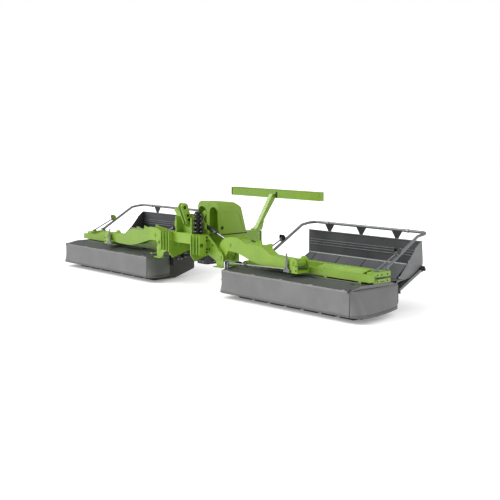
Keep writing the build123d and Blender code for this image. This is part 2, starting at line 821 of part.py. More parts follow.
# Cutterbar with skids and end walls
disc_xs = [
    (unit_inner + unit_outer) / 2 + (i - (disc_count - 1) / 2) * disc_pitch
    for i in range(disc_count)
]
wall_inner = unit_inner + end_wall_inset
wall_outer = unit_outer - end_wall_inset
with BuildPart() as cutterbar:
    with BuildSketch(plane_at_x(wall_inner)):
        Polygon(
            (bar_front, bar_low), (bar_rear, bar_low), (bar_rear, bar_high),
            (bar_front + 60, bar_high), (bar_front, bar_low + 20), align=None,
        )
    extrude(amount=wall_outer - wall_inner)
    for x in disc_xs:
        with BuildSketch(plane_at_x(x - skid_width / 2)):
            Polygon(
                (skid_front, 62), (skid_front + 60, 0), (skid_rear, 0), (skid_rear, bar_low),
                (bar_front, bar_low), (bar_front, bar_low + 20), (skid_front + 20, 62),
                align=None,
            )
        extrude(amount=skid_width)
    for x in (wall_inner, wall_outer - end_wall):
        with BuildSketch(plane_at_x(x)):
            Polygon(
                (bar_front, bar_low), (760, bar_low), (rotor_y + 150, 190),
                (rotor_y + 150, 480), (deck_rear, deck_high - sheet),
                (deck_slope_end, deck_high - sheet), (deck_slope_end, 120), align=None,
            )
            with Locations((rotor_y, rotor_z)):
                Circle(rotor_stub_radius + clearance, mode=Mode.SUBTRACT)
        extrude(amount=end_wall)
save_both(cutterbar.part, "cutterbar")

# Discs: oval, with two blades each; neighbours stand a quarter turn apart
for number, x in enumerate(disc_xs, start=1):
    turn = 0 if number % 2 else 90
    with BuildPart() as disc:
        base = Plane(origin=(x, aft(disc_y), 0), x_dir=(1, 0, 0), z_dir=(0, 0, 1))
        base = base.rotated((0, 0, turn))
        with BuildSketch(base.offset(bar_high + clearance)):
            Circle(hub_radius)
        extrude(amount=hub_height)
        blade_z = bar_high + clearance + hub_height
        with BuildSketch(base.offset(blade_z)):
            with Locations((blade_tip_radius / 2 + 60, 0), (-blade_tip_radius / 2 - 60, 0)):
                Rectangle(blade_tip_radius - 120, blade_width)
        extrude(amount=blade_thickness)
        with BuildSketch(base.offset(blade_z + blade_thickness)):
            Ellipse(disc_half_length, disc_half_width)
        extrude(amount=disc_edge)
        with BuildSketch(base.offset(blade_z + blade_thickness + disc_edge)):
            Circle(95)
        extrude(amount=disc_dome, taper=35)
        with BuildSketch(base.offset(blade_z)):
            Circle(hub_radius)
        extrude(amount=blade_thickness)
    save_both(disc.part, f"disc_{number}")

# Conditioner rotor: tube with tines
rotor_inner = wall_inner + end_wall + 6
rotor_outer = wall_outer - end_wall - 6
with BuildPart() as rotor:
    with BuildSketch(Plane(origin=(rotor_inner, aft(rotor_y), rotor_z),
                           x_dir=(0, 1, 0), z_dir=(1, 0, 0))):
        Circle(rotor_tube_radius)
    extrude(amount=rotor_outer - rotor_inner)
    with BuildSketch(Plane(origin=(wall_inner, aft(rotor_y), rotor_z),
                           x_dir=(0, 1, 0), z_dir=(1, 0, 0))):
        Circle(rotor_stub_radius)
    extrude(amount=wall_outer - wall_inner)
    pitch = (rotor_outer - rotor_inner - 100) / (tine_stations - 1)
    for i in range(tine_stations):
        x = rotor_inner + 50 + i * pitch
        for j in range(tines_round):
            angle = 360.0 * j / tines_round + (60.0 if i % 2 else 0.0)
            tine_plane = Plane(origin=(x, aft(rotor_y), rotor_z), x_dir=(1, 0, 0),
                               z_dir=(0, math.cos(math.radians(angle)),
                                      math.sin(math.radians(angle))))
            with BuildSketch(tine_plane.offset(rotor_tube_radius - 8)):
                Rectangle(tine_thickness, tine_width)
            extrude(amount=tine_tip_radius - rotor_tube_radius + 8)
save_both(rotor.part, "rotor")

# Gearbox at the unit's inner end
with BuildPart() as unit_gearbox:
    block(unit_box_inner + 40, unit_inner - clearance, 610, 900, 300, 640)
    fillet(unit_gearbox.edges().filter_by(Axis.X), 60)
    block(unit_inner - 20, wall_inner - clearance, 640, 870, 320, 520)
    with BuildSketch(Plane(origin=(unit_box_inner + 40, aft(drive_y), unit_box_z),
                           x_dir=(0, 1, 0), z_dir=(-1, 0, 0))):
        Circle(60)
    extrude(amount=40)
save_both(unit_gearbox.part, "unit_gearbox")

# Sloping guard behind the rotor, with ribs, up to the cross bar
with BuildPart() as rear_guard:
    with BuildSketch(plane_at_x(wall_inner)):
        Polygon(
            (deck_rear + clearance, deck_high), (1380, 586), (1380, 580),
            (deck_rear + clearance, deck_high - sheet), align=None,
        )
    extrude(amount=wall_outer - wall_inner)
    with BuildSketch(plane_at_x(bar_inner)):
        Polygon(
            (1378, 586), (bar_y - 14, bar_z), (bar_y - 8, bar_z - 6), (1380, 578), align=None,
        )
    extrude(amount=collector_outer - clearance - bar_inner)
    rib_pitch = (collector_outer - bar_inner - 500) / 3
    for i in range(4):
        x = bar_inner + 160 + i * rib_pitch
        with BuildSketch(plane_at_x(x)):
            Polygon((1385, 590), (1375, 600), (bar_y - 30, bar_z), (bar_y - 20, bar_z - 10),
                    align=None)
        extrude(amount=40)
    with BuildSketch(Plane(origin=(bar_inner - 10, aft(bar_y), bar_z),
                           x_dir=(0, 1, 0), z_dir=(1, 0, 0))):
        Circle(bar_radius + clearance)
    extrude(amount=collector_outer - bar_inner + 20, mode=Mode.SUBTRACT)
save_both(rear_guard.part, "rear_guard")

# Conveyor belt round its two end rollers
belt_dy = belt_rear[0] - belt_front[0]
belt_dz = belt_rear[1] - belt_front[1]
belt_width = math.hypot(belt_dy, belt_dz)
belt_dir = (0, belt_dy / belt_width, belt_dz / belt_width)
belt_plane = Plane(origin=(0, aft(belt_front[0]), belt_front[1]), x_dir=(1, 0, 0),
                   z_dir=belt_dir)
belt_in = collector_inner + roller_radius + 10
belt_out = collector_outer - roller_radius - 10
belt_outer_radius = roller_radius + belt_thickness
with BuildPart() as conveyor_belt:
    with BuildSketch(belt_plane):
        with Locations(((belt_in + belt_out) / 2, 0)):
            SlotCenterToCenter(belt_out - belt_in, 2 * belt_outer_radius)
            SlotCenterToCenter(belt_out - belt_in, 2 * (roller_radius + clearance),
                               mode=Mode.SUBTRACT)
    extrude(amount=belt_width)
save_both(conveyor_belt.part, "conveyor_belt")

# End rollers and tubes of the belt's frame
rail_gap = roller_overhang + clearance
with BuildPart() as belt_rollers:
    for x in (belt_in, belt_out):
        with BuildSketch(belt_plane.offset(-roller_overhang)):
            with Locations((x, 0)):
                Circle(roller_radius)
        extrude(amount=belt_width + 2 * roller_overhang)
    # Cross bar over the belt's front edge and the outer side tube
    with BuildSketch(Plane(origin=(bar_inner, aft(bar_y), bar_z),
                           x_dir=(0, 1, 0), z_dir=(1, 0, 0))):
        Circle(bar_radius)
    extrude(amount=collector_outer - bar_inner)
    with BuildSketch(belt_plane.offset(-rail_gap)):
        with Locations((side_tube_x, 0)):
            Circle(side_tube_radius)
    extrude(amount=belt_width + 2 * rail_gap)
save_both(belt_rollers.part, "belt_rollers")

# Rear wall and outer side plate of the conveyor
side_outline = [
    (1340, 468), (1370, 490), (1660, 780), (1930, 1090), (2030, 1176), (2075, 1176),
    (2110, 810), (2100, 740),
]
with BuildPart() as collector_walls:
    rail_outer = side_tube_x + rail_depth / 2
    for start in (-rail_gap - rail_thickness, belt_width + rail_gap):
        with BuildSketch(belt_plane.offset(start)):
            with Locations(((collector_inner + rail_outer) / 2, 0)):
                Rectangle(rail_outer - collector_inner, rail_depth)
        extrude(amount=rail_thickness)
    with BuildSketch(belt_plane.offset(-rail_gap)):
        with Locations(((belt_in + belt_out) / 2, 0)):
            Rectangle(belt_out - belt_in - 4 * roller_radius, bed_depth)
    extrude(amount=belt_width + 2 * rail_gap)
    with BuildSketch(belt_plane.offset(-rail_gap - rail_thickness)):
        with Locations((collector_outer - 12, -95)):
            Rectangle(36, 130)
    extrude(amount=rail_thickness)
    block(collector_inner, collector_outer, wall_y, wall_y + wall_thickness, wall_low,
          wall_high)
    for z in wall_ribs:
        block(collector_inner, collector_outer, wall_y - 10, wall_y, z - 8, z + 8)
    with BuildSketch(plane_at_x(collector_outer)):
        Polygon(*side_outline, align=None)
    extrude(amount=sheet)
save_both(collector_walls.part, "collector_walls")

# Guard hoop over the conveyor
with BuildPart() as guard_hoop:
    with BuildLine() as hoop_path:
        FilletPolyline(
            (hoop_inner, aft(hoop_foot[0]), hoop_foot[1]),
            (hoop_inner, aft(hoop_knee[0]), hoop_knee[1]),
            (hoop_inner, aft(hoop_top[0]), hoop_top[1]),
            (hoop_outer, aft(hoop_top[0]), hoop_top[1]),
            (hoop_outer, aft(hoop_knee[0]), hoop_knee[1]),
            (hoop_outer, aft(hoop_foot[0]), hoop_foot[1]),
            radius=[120, 140, 140, 120],
        )
    with BuildSketch(Plane(origin=hoop_path.line @ 0, z_dir=hoop_path.line % 0)):
        Circle(hoop_radius)
    sweep()
    brace_dy = brace_top[0] - brace_foot[0]
    brace_dz = brace_top[1] - brace_foot[1]
    brace_length = math.hypot(brace_dy, brace_dz)
    for side_x in (hoop_inner, hoop_outer):
        block(side_x - 40, side_x + 40, hoop_foot[0] - 35, end_block_rear,
              end_block_high, hoop_foot[1] + 25)
        # Thin brace beside the leg and its clamp
        with BuildSketch(Plane(origin=(side_x - 5, aft(brace_foot[0]), brace_foot[1]),
                               x_dir=(1, 0, 0), z_dir=(0, brace_dy, brace_dz))):
            Circle(brace_radius)
        extrude(amount=brace_length)
        block(side_x - 30, side_x + 22, brace_foot[0] - 30, brace_foot[0] + 40,
              end_block_high, brace_foot[1] + 14)
        with BuildSketch(Plane(origin=(side_x - 30, aft(brace_top[0]), brace_top[1]),
                               x_dir=(0, brace_dy, brace_dz), z_dir=(1, 0, 0))):
            Rectangle(90, 70)
        extrude(amount=60)
    for fraction in (0.17, 0.457, 0.759):
        x = hoop_inner + fraction * (hoop_outer - hoop_inner)
        with BuildSketch(plane_at_y(wall_y + wall_thickness + 8)):
            Polygon((x - 125, hoop_top[1]), (x + 125, hoop_top[1]), (x + 12, wall_high - 20),
                    (x - 12, wall_high - 20), align=None)
        extrude(amount=8)

# Level indicator: a tapered blade on a foot, and on the left the rod to the inner foot
rod_dx = lever_x - 15 - foot_inner - 5
rod_dz = lever_rod_ends[1] - lever_rod_ends[0]
with BuildPart() as level_lever:
    with BuildSketch(plane_at_y(lever_y + 10)):
        Polygon(
            (lever_x - 70, lever_low), (lever_x + 75, lever_low), (lever_x + 70, lever_low + 48),
            (lever_x + 32, 740), (lever_x + 12, lever_top), (lever_x - 12, lever_top),
            (lever_x - 22, 740), (lever_x - 70, lever_low + 40), align=None,
        )
    extrude(amount=14)
    block(lever_x + 5, lever_x + 75, lever_y - 4, bracket_front, lever_low, lever_low + 48)
with BuildPart() as level_rod:
    with BuildSketch(Plane(origin=(foot_inner + 5, aft(lever_y), lever_rod_ends[0]),
                           x_dir=(0, 1, 0), z_dir=(rod_dx, 0, rod_dz))):
        Circle(lever_rod_radius)
    extrude(amount=math.hypot(rod_dx, rod_dz))
    block(foot_inner + 4, foot_inner + 40, lever_y - 20, lever_y + 8, 562, 675)
    with BuildSketch(plane_at_x(lever_clamp_x)):
        with Locations((lever_y, 675)):
            Circle(22)
    extrude(amount=50)
with BuildPart() as left_guard:
    add(guard_hoop.part)
    add(level_lever.part)
    add(level_rod.part)
save(left_guard.part, "left_guard_hoop")
with BuildPart() as right_guard:
    add(guard_hoop.part)
    add(level_lever.part)
save(mirror(right_guard.part, about=Plane.YZ), "right_guard_hoop")
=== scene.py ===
import bmesh
import bpy
import numpy as np
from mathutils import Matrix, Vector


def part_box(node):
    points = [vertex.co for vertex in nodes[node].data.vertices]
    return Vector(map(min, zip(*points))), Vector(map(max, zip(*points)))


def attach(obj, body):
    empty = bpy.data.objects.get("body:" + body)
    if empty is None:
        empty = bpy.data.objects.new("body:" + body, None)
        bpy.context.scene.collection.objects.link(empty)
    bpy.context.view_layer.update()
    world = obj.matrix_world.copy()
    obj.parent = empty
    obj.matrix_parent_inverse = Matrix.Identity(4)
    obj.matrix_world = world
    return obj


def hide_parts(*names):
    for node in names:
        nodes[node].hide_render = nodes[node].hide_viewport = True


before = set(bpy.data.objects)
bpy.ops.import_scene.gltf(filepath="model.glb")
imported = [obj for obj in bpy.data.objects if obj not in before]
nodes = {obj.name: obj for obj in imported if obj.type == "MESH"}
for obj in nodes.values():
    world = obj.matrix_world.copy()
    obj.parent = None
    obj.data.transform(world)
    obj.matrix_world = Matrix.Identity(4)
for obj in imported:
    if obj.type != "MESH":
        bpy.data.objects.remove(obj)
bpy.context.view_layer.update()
sides = (("left", 1), ("right", -1))


# Headstock frame: crossbeam, tower, rails, wings and link brackets, cut from steel
# plate and box section, welded, shot-blasted and powder-coated lime green. The
# same coat covers the arms, the carrier beams, the hood, the mast and the light bar.
def linear(hex_colour, alpha=1.0):
    """sRGB hex to linear: c / 12.92 below 0.04045, else ((c + 0.055) / 1.055) ^ 2.4."""
    c = np.array([int(hex_colour[i:i + 2], 16) for i in (1, 3, 5)]) / 255.0
    return (*np.where(c <= 0.04045, c / 12.92, ((c + 0.055) / 1.055) ** 2.4).tolist(), alpha)


def add(tree, kind, links=None, **settings):
    """Adds one node; a setting is an input's value or a property, a link an output."""
    node = tree.nodes.new(kind)
    for key, value in settings.items():
        name = key.replace("_", " ")
        if name in node.inputs:
            node.inputs[name].default_value = value
        else:
            setattr(node, key, value)
    for key, output in (links or {}).items():
        tree.links.new(output, node.inputs[key])
    return node


def surface(name, light, dark, patch, roughness, metallic=0.0, grain=0.004, bump=0.1,
            dust_height=0.0):
    """A finish with three layers: two tones mixed by soft noise whose patches are
    `patch` metres wide and that also sways the roughness, fine relief of `grain`
    metres, and field dust that fades out upwards over `dust_height` metres."""
    dust, most_dust, gloss_sway = "#8d8778", 0.35, 0.07
    mat = bpy.data.materials.new(name)
    mat.use_nodes = True
    tree = mat.node_tree
    tree.nodes.clear()
    place = add(tree, "ShaderNodeTexCoord").outputs["Object"]
    soft = add(tree, "ShaderNodeTexNoise", {"Vector": place}, Scale=1.0 / patch, Detail=4.0,
               Roughness=0.55).outputs["Fac"]
    spread = add(tree, "ShaderNodeMapRange", {"Value": soft}, From_Min=0.35, From_Max=0.65)
    tone = add(tree, "ShaderNodeMix", {"Factor": spread.outputs[0]}, data_type="RGBA")
    tone.inputs[6].default_value = linear(dark)
    tone.inputs[7].default_value = linear(light)
    colour = tone.outputs[2]
    if dust_height:
        height = add(tree, "ShaderNodeSeparateXYZ", {"Vector": place}).outputs["Z"]
        fade = add(tree, "ShaderNodeMapRange", {"Value": height}, From_Min=0.0,
                   From_Max=dust_height, To_Min=most_dust, To_Max=0.0)
        spots = add(tree, "ShaderNodeTexNoise", {"Vector": place}, Scale=25.0, Detail=6.0)
        amount = add(tree, "ShaderNodeMath", {0: fade.outputs[0], 1: spots.outputs["Fac"]},
                     operation="MULTIPLY")
        dusty = add(tree, "ShaderNodeMix", {"Factor": amount.outputs[0], 6: colour},
                    data_type="RGBA")
        dusty.inputs[7].default_value = linear(dust)
        colour = dusty.outputs[2]
    fine = add(tree, "ShaderNodeTexNoise", {"Vector": place}, Scale=1.0 / grain, Detail=3.0)
    relief = add(tree, "ShaderNodeBump", {"Height": fine.outputs["Fac"]}, Strength=bump,
                 Distance=grain * 0.2)
    gloss = add(tree, "ShaderNodeMapRange", {"Value": soft}, From_Min=0.3, From_Max=0.7,
                To_Min=max(roughness - gloss_sway, 0.02),
                To_Max=min(roughness + gloss_sway, 1.0))
    bsdf = add(tree, "ShaderNodeBsdfPrincipled",
               {"Base Color": colour, "Roughness": gloss.outputs[0],
                "Normal": relief.outputs[0]}, Metallic=metallic)
    add(tree, "ShaderNodeOutputMaterial", {"Surface": bsdf.outputs[0]})
    return mat


def finish_on(material, *names):
    """Puts a material on CAD nodes, in every slot they have."""
    for name in names:
        mesh = nodes[name].data
        mesh.materials.clear()
        mesh.materials.append(material)


def both(*names):
    """The left and right node of each name."""
    return [f"{side}_{name}" for name in names for side, _ in sides]


# Powder coat, polyester, baked: an even, fairly glossy coat with a faint orange
# peel, drawn at 6 mm because the real 1 mm ripple would be too fine to show.
lime_coat = surface("Lime powder coat", "#93b93e", "#86ad34", 0.6, 0.30, grain=0.006,
                    bump=0.06, dust_height=0.7)
finish_on(lime_coat, "headstock_frame", "top_link_arm", "hitch_brackets", "wing_plates",
          "hood", "light_mast", "light_bar", *both("arm", "unit_frame"))


# Pins, caps and bolts of the headstock: turned and cold-headed steel, pushed or
# screwed into the welded plates. A folded flange stiffens each wing's slanting edge.
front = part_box("left_front_apron")[0][1]    # y of the aprons' front faces


def put(points, side=1):
    """Moves points from apron-based metres (y counted rearward) to the frame; the
    right unit's points are the left one's with x negated."""
    return np.asarray(points, float) * (side, 1.0, 1.0) + (0.0, front, 0.0)


def turned(profile, centre, axis, corners=24):
    """Surface of revolution: each profile row (distance along the axis, radius)
    becomes a ring of `corners` points round the axis through the centre."""
    profile = np.asarray(profile, float)
    axis = np.asarray(axis, float) / np.linalg.norm(axis)
    across = np.cross(axis, np.eye(3)[np.argmin(np.abs(axis))])
    across /= np.linalg.norm(across)
    up = np.cross(axis, across)
    turn = np.arange(corners) * 2.0 * np.pi / corners
    ring = np.cos(turn)[:, None] * across + np.sin(turn)[:, None] * up
    return (np.asarray(centre, float) + profile[:, 0, None, None] * axis
            + profile[:, 1, None, None] * ring)


def carried(path, radius, corners=12):
    """Round section carried along a path: a ring of `corners` points at each path
    point, square to the path there, with both ends closed to a point."""
    path = np.asarray(path, float)
    along = np.gradient(path, axis=0)
    along /= np.linalg.norm(along, axis=1)[:, None]
    fixed = np.eye(3)[np.argmin(np.abs(along).max(axis=0))]
    across = np.cross(along, fixed)
    across /= np.linalg.norm(across, axis=1)[:, None]
    up = np.cross(along, across)
    turn = np.arange(corners) * 2.0 * np.pi / corners
    rings = path[:, None] + radius * (np.cos(turn)[:, None] * across[:, None]
                                      + np.sin(turn)[:, None] * up[:, None])
    ends = np.repeat(path[[0, -1], None], corners, axis=1)
    return np.concatenate([ends[:1], rings, ends[1:]])


def slab(outline, low, high, normal, bevel=0.002, side=1):
    """Flat plate in the frame: an apron-based outline (2-D, round its middle) between
    two heights along the normal axis (0, 1 or 2); its rim is drawn in by the bevel at
    both faces. The right unit's plate is the left one's with x negated."""
    outline = np.asarray(outline, float)
    middle = outline.mean(axis=0)
    reach = np.linalg.norm(outline - middle, axis=1)[:, None]
    inner = middle + (outline - middle) * (1.0 - bevel / reach)
    rows = [(middle + 0 * outline, low), (inner, low), (outline, low + bevel),
            (outline, high - bevel), (inner, high), (middle + 0 * outline, high)]
    return put(np.stack([np.insert(flat, normal, height, axis=1) for flat, height in rows]),
               side)


def rounded(u0, u1, v0, v1, radius, steps=4):
    """Outline of a rectangle whose corners are quarter circles."""
    quarter = np.linspace(0.0, np.pi / 2, steps)
    corners = ((u1 - radius, v1 - radius, 0), (u0 + radius, v1 - radius, 1),
               (u0 + radius, v0 + radius, 2), (u1 - radius, v0 + radius, 3))
    return np.concatenate([
        np.stack([u + radius * np.cos(quarter + k * np.pi / 2),
                  v + radius * np.sin(quarter + k * np.pi / 2)], axis=1)
        for u, v, k in corners])


def mesh_piece(name, grids, material, body, crease=35.0, open_sheet=False):
    """One mesh from grids of points: quads join neighbours, the second direction
    closes on itself unless the grid is an open sheet, doubles merge, and normals
    turn outwards. Edges sharper than `crease` degrees stay sharp."""
    points, faces, start = [], [], 0
    for grid in grids:
        rows, columns = grid.shape[:2]
        i, j = np.meshgrid(np.arange(rows - 1), np.arange(columns - open_sheet), indexing="ij")
        k = (j + 1) % columns
        quads = np.stack([i * columns + j, i * columns + k, (i + 1) * columns + k,
                          (i + 1) * columns + j], axis=-1).reshape(-1, 4) + start
        points.append(grid.reshape(-1, 3))
        faces.append(quads)
        start += rows * columns
    mesh = bpy.data.meshes.new(name)
    mesh.from_pydata(np.concatenate(points).tolist(), [], np.concatenate(faces).tolist())
    shape = bmesh.new()
    shape.from_mesh(mesh)
    bmesh.ops.remove_doubles(shape, verts=shape.verts, dist=1e-5)
    bmesh.ops.recalc_face_normals(shape, faces=shape.faces)
    shape.to_mesh(mesh)
    shape.free()
    mesh.materials.append(material)
    mesh.shade_smooth()
    mesh.set_sharp_from_angle(angle=np.radians(crease))
    piece = bpy.data.objects.new(name, mesh)
    bpy.context.scene.collection.objects.link(piece)
    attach(piece, body)
    return piece


def bolt(place, axis, size):
    """Hexagon bolt head with its washer: `size` is the radius over the corners."""
    washer = turned([(0, 0), (0, 1.3 * size), (0.18 * size, 1.3 * size), (0.18 * size, 0)],
                    place, axis, 14)
    head = turned([(0.1 * size, 0), (0.18 * size, size), (0.7 * size, size),
                   (0.82 * size, 0.86 * size), (0.82 * size, 0)], place, axis, 6)
    return [washer, head]


def cap(place, axis, radius, height):
    """Round retaining cap with a chamfered rim and a raised middle."""
    return turned([(0, 0), (0, radius), (0.6 * height, radius), (height, 0.88 * radius),
                   (height, 0.45 * radius), (1.5 * height, 0.4 * radius), (1.5 * height, 0)],
                  place, axis, 28)


# Zinc plating, bright passivated: a cool metal whose fine draw lines, drawn at 3 mm
# so that they show, scatter the highlight.
zinc_steel = surface("Zinc-plated steel", "#b9bcbd", "#9a9d9f", 0.08, 0.3, metallic=1.0,
                     grain=0.003, bump=0.12)
finish_on(zinc_steel, "pto_shaft", "parking_leg")

hinge_x, hinge_z = 0.960, 0.730
wing_faces = ((0.160, -1), (0.480, 1))      # y of the wings' outer faces, way out
link_plate_x = 0.6225                       # outer face of the outer link plates
hinge_caps, frame_bolts, flanges = [], [], []
for sign in (1, -1):
    for y, way in wing_faces:
        place = put((hinge_x, y, hinge_z), sign)
        hinge_caps.append(cap(place, (0, way, 0), 0.056, 0.010))
        turn = np.arange(3) * 2.0 * np.pi / 3
        for dx, dz in zip(0.043 * np.cos(turn), 0.043 * np.sin(turn)):
            frame_bolts += bolt(place + (dx, 0.0060 * way, dz), (0, way, 0), 0.007)
    # Bolts along the outer link plates and the wing roots
    for z in (0.800, 0.860, 1.020, 1.090):
        frame_bolts += bolt(put((link_plate_x, 0.120, z), sign), (sign, 0, 0), 0.014)
    for x, z in ((0.660, 1.030), (0.660, 0.860), (0.760, 0.950)):
        frame_bolts += bolt(put((x, wing_faces[0][0], z), sign), (0, -1, 0), 0.013)
    slanting_edge = [(0.640, 1.0967), (1.006, 0.8378), (1.0020, 0.8321), (0.636, 1.0910)]
    flanges.append(slab(slanting_edge, 0.122, 0.161, 1, 0.0012, sign))
mesh_piece("wing_flanges", flanges, lime_coat, "headstock")
mesh_piece("hinge_caps", hinge_caps, lime_coat, "headstock")

# Bushes of the link holes: hardened rings pressed into the outer plates; two pins
# hold the link arm's lower end. Black oxide leaves the steel dark and half dull.
black_oxide = surface("Black oxide steel", "#2d2c2b", "#232222", 0.05, 0.45, metallic=0.6,
                      grain=0.003, bump=0.1)
mesh_piece("frame_bolts", frame_bolts, black_oxide, "headstock")
link_arm_x = 0.060                          # half the link arm's width
bushes = []
for sign in (1, -1):
    # place of each link hole on the plate's face, its radius and the bush's radius
    for x, y, z, hole, rim in ((link_plate_x, -0.005, 0.940, 0.0188, 0.036),
                               (link_arm_x, 0.035, 1.630, 0.0163, 0.034)):
        ring = [(0, hole), (0, rim), (0.004, rim), (0.006, rim - 0.003), (0.006, hole),
                (0, hole)]
        bushes.append(turned(ring, put((x, y, z), sign), (sign, 0, 0), 32))
    for y, z in ((0.105, 1.470), (0.130, 1.385)):
        bushes.append(cap(put((link_arm_x, y, z), sign), (sign, 0, 0), 0.026, 0.010))
mesh_piece("link_bushes", bushes, black_oxide, "headstock")


# Main gearbox and the gearboxes on the units: grey iron castings under a dark coat,
# with the coarse skin of a sand mould; their covers are bolted on in circles.
def bolt_ring(centre, axis, radius, count, size, side=1, start=0.0):
    """Bolts evenly round a centre, on a circle square to the axis (x or y)."""
    bolts = []
    for turn in start + np.arange(count) * 2.0 * np.pi / count:
        u, v = np.cos(turn), np.sin(turn)
        across = np.array((0.0, u, v) if axis[0] else (u, 0.0, v))
        bolts += bolt(put(centre + radius * across, side), axis, size)
    return bolts


cast_iron = surface("Painted cast iron", "#3f4041", "#2f3031", 0.2, 0.55, grain=0.008,
                    bump=0.4, dust_height=0.5)
finish_on(cast_iron, "main_gearbox", *both("unit_gearbox", "cutterbar", "rotor"),
          *[name for i in range(7) for name in both(f"disc_{i + 1}")])
drive_y, drive_z = 0.720, 0.620             # side outputs of the main gearbox
input_z = 0.640                             # height of the input shaft
cover_bolts = []
for sign in (1, -1):
    cover_bolts += bolt_ring((0.170, drive_y, drive_z), (sign, 0, 0), 0.105, 6, 0.010, sign)
cover_bolts += bolt_ring((0.0, 0.490, input_z), (0, -1, 0), 0.118, 8, 0.009, start=0.39)
mesh_piece("gearbox_bolts", cover_bolts, zinc_steel, "headstock")
for side, sign in sides:
    unit_bolts = bolt_ring((1.060, 0.755, 0.520), (-sign, 0, 0), 0.085, 6, 0.009, sign)
    mesh_piece(side + "_unit_gearbox_bolts", unit_bolts, zinc_steel, side + "_unit")

# Shaft guards: injection-moulded polyethylene, matt from a spark-eroded mould; the
# guard cup snaps on the gearbox and has stiffening rings round it.
moulded_black = surface("Moulded black polyethylene", "#262728", "#1c1d1e", 0.15, 0.5,
                        grain=0.003, bump=0.2)
finish_on(moulded_black, "pto_guard", *both("drive_shaft"))
guard_rings = [turned([(0, 0.0882), (0.003, 0.094), (0.009, 0.094), (0.012, 0.0882)],
                      put((0, y, input_z)), (0, 1, 0), 36)
               for y in (0.303, 0.345, 0.390, 0.425)]
mesh_piece("pto_guard_rings", guard_rings, moulded_black, "headstock")

# Valve block beside the tower: black anodised aluminium body with solenoid coils,
# screwed to its carrier plate; rigid steel pipes lead down to the crossbeam. The
# anodising keeps a dark metal gleam.
valve_finish = surface("Black anodised aluminium", "#323134", "#242326", 0.06, 0.38,
                       metallic=0.7, grain=0.003, bump=0.1)
finish_on(valve_finish, "hydraulic_block")
valve_rows = 1.180 + 0.082 * np.arange(5)   # heights of the valve sections
coils, couplings = [], []
for z in valve_rows:
    for x in (0.305, 0.360):
        coils.append(turned([(0, 0), (0, 0.023), (0.006, 0.025), (0.034, 0.025),
                             (0.040, 0.021), (0.040, 0)], put((x, 0.112, z)), (0, -1, 0), 20))
        couplings.append(turned([(0.040, 0), (0.040, 0.011), (0.053, 0.011), (0.053, 0.007),
                                 (0.060, 0.007), (0.060, 0)], put((x, 0.118, z)),
                                (0, -1, 0), 14))
    couplings.append(turned([(0, 0), (0, 0.019), (0.020, 0.019), (0.020, 0.015),
                             (0.034, 0.015), (0.034, 0)], put((0.397, 0.145, z)),
                            (1, 0, 0), 6))
mesh_piece("valve_coils", coils, moulded_black, "headstock")
mesh_piece("valve_fittings", couplings, zinc_steel, "headstock")
pipe_y, pipe_foot, pipe_bend = 0.145, 1.145, 0.026
quarter = np.linspace(0.0, np.pi / 2, 6)[:, None]
pipes = []
for row, z in enumerate(valve_rows):
    out = 0.440 + 0.012 * row               # x of the pipe's upright run
    top = ((out - pipe_bend, pipe_y, z - pipe_bend)
           + pipe_bend * np.hstack([np.sin(quarter), 0 * quarter, np.cos(quarter)]))
    low = ((out - pipe_bend, pipe_y, pipe_foot + pipe_bend)
           + pipe_bend * np.hstack([np.cos(quarter), 0 * quarter, -np.sin(quarter)]))
    if row == 0:
        path = [(0.428, pipe_y, z), *top, (out, pipe_y, pipe_foot - 0.008)]
    else:
        path = [(0.425, pipe_y, z), *top, *low, (0.300, pipe_y, pipe_foot)]
    pipes.append(carried(put(path), 0.0065, 10))
mesh_piece("steel_pipes", pipes, black_oxide, "headstock", crease=80)


# Hood: rotationally moulded shell, coated lime like the frame and screwed to the
# rails. A moulded black edging runs along its foot, a turn latch closes each keyhole,
# and beads stiffen the recesses' rims and the side panels.
def eased(corners, cut, steps=7):
    """Path through corners, each rounded by a quadratic curve that leaves and meets
    its two runs at the distance `cut`: (1-t)^2 a + 2t(1-t) corner + t^2 b."""
    corners = np.asarray(corners, float)
    runs = np.diff(corners, axis=0)
    runs /= np.linalg.norm(runs, axis=1)[:, None]
    t = np.linspace(0.0, 1.0, steps)[:, None, None]
    corner = corners[1:-1]
    a, b = corner - cut * runs[:-1], corner + cut * runs[1:]
    curves = (1 - t) ** 2 * a + 2 * t * (1 - t) * corner + t ** 2 * b
    return np.concatenate([corners[:1], curves.transpose(1, 0, 2).reshape(-1, 3),
                           corners[-1:]])


hood_side, hood_foot, hood_top = 0.3195, 1.0605, 1.722
recess_x, recess_z, rim_radius = 0.178, 1.490, 0.128
arch_turn = np.linspace(np.pi, 0.0, 21)
arch = np.stack([recess_x + rim_radius * np.cos(arch_turn), 0 * arch_turn,
                 recess_z + rim_radius * np.sin(arch_turn)], axis=1)
arch = np.concatenate([[(recess_x - rim_radius, 0.0, 1.072)], arch,
                       [(recess_x + rim_radius, 0.0, 1.072)]])
arch[:, 1] = 0.6555 + 0.015 * (hood_top - arch[:, 2]) / 0.660   # the front leans back
panel = eased([(hood_side, y, z) for y, z in ((0.735, 1.110), (0.722, 1.520),
                                              (1.130, 1.500), (1.190, 1.480),
                                              (1.330, 1.110))], 0.030)
seals, latches, beads, screws = [], [], [], []
for sign in (1, -1):
    seals.append(slab(rounded(0.668, 1.398, hood_foot, 1.078, 0.006), hood_side, 0.3255, 0,
                      side=sign))
    latches.append(cap(put((hood_side, 0.760, 1.203), sign), (sign, 0, 0), 0.034, 0.010))
    beads.append(carried(put(arch, sign), 0.008, 10))
    beads.append(carried(put(panel, sign), 0.006, 10))
    for y in (0.720, 1.320):
        screws += bolt(put((0.3255, y, 1.069), sign), (sign, 0, 0), 0.009)
mesh_piece("hood_edge", seals, moulded_black, "headstock")
mesh_piece("hood_latches", latches, moulded_black, "headstock")
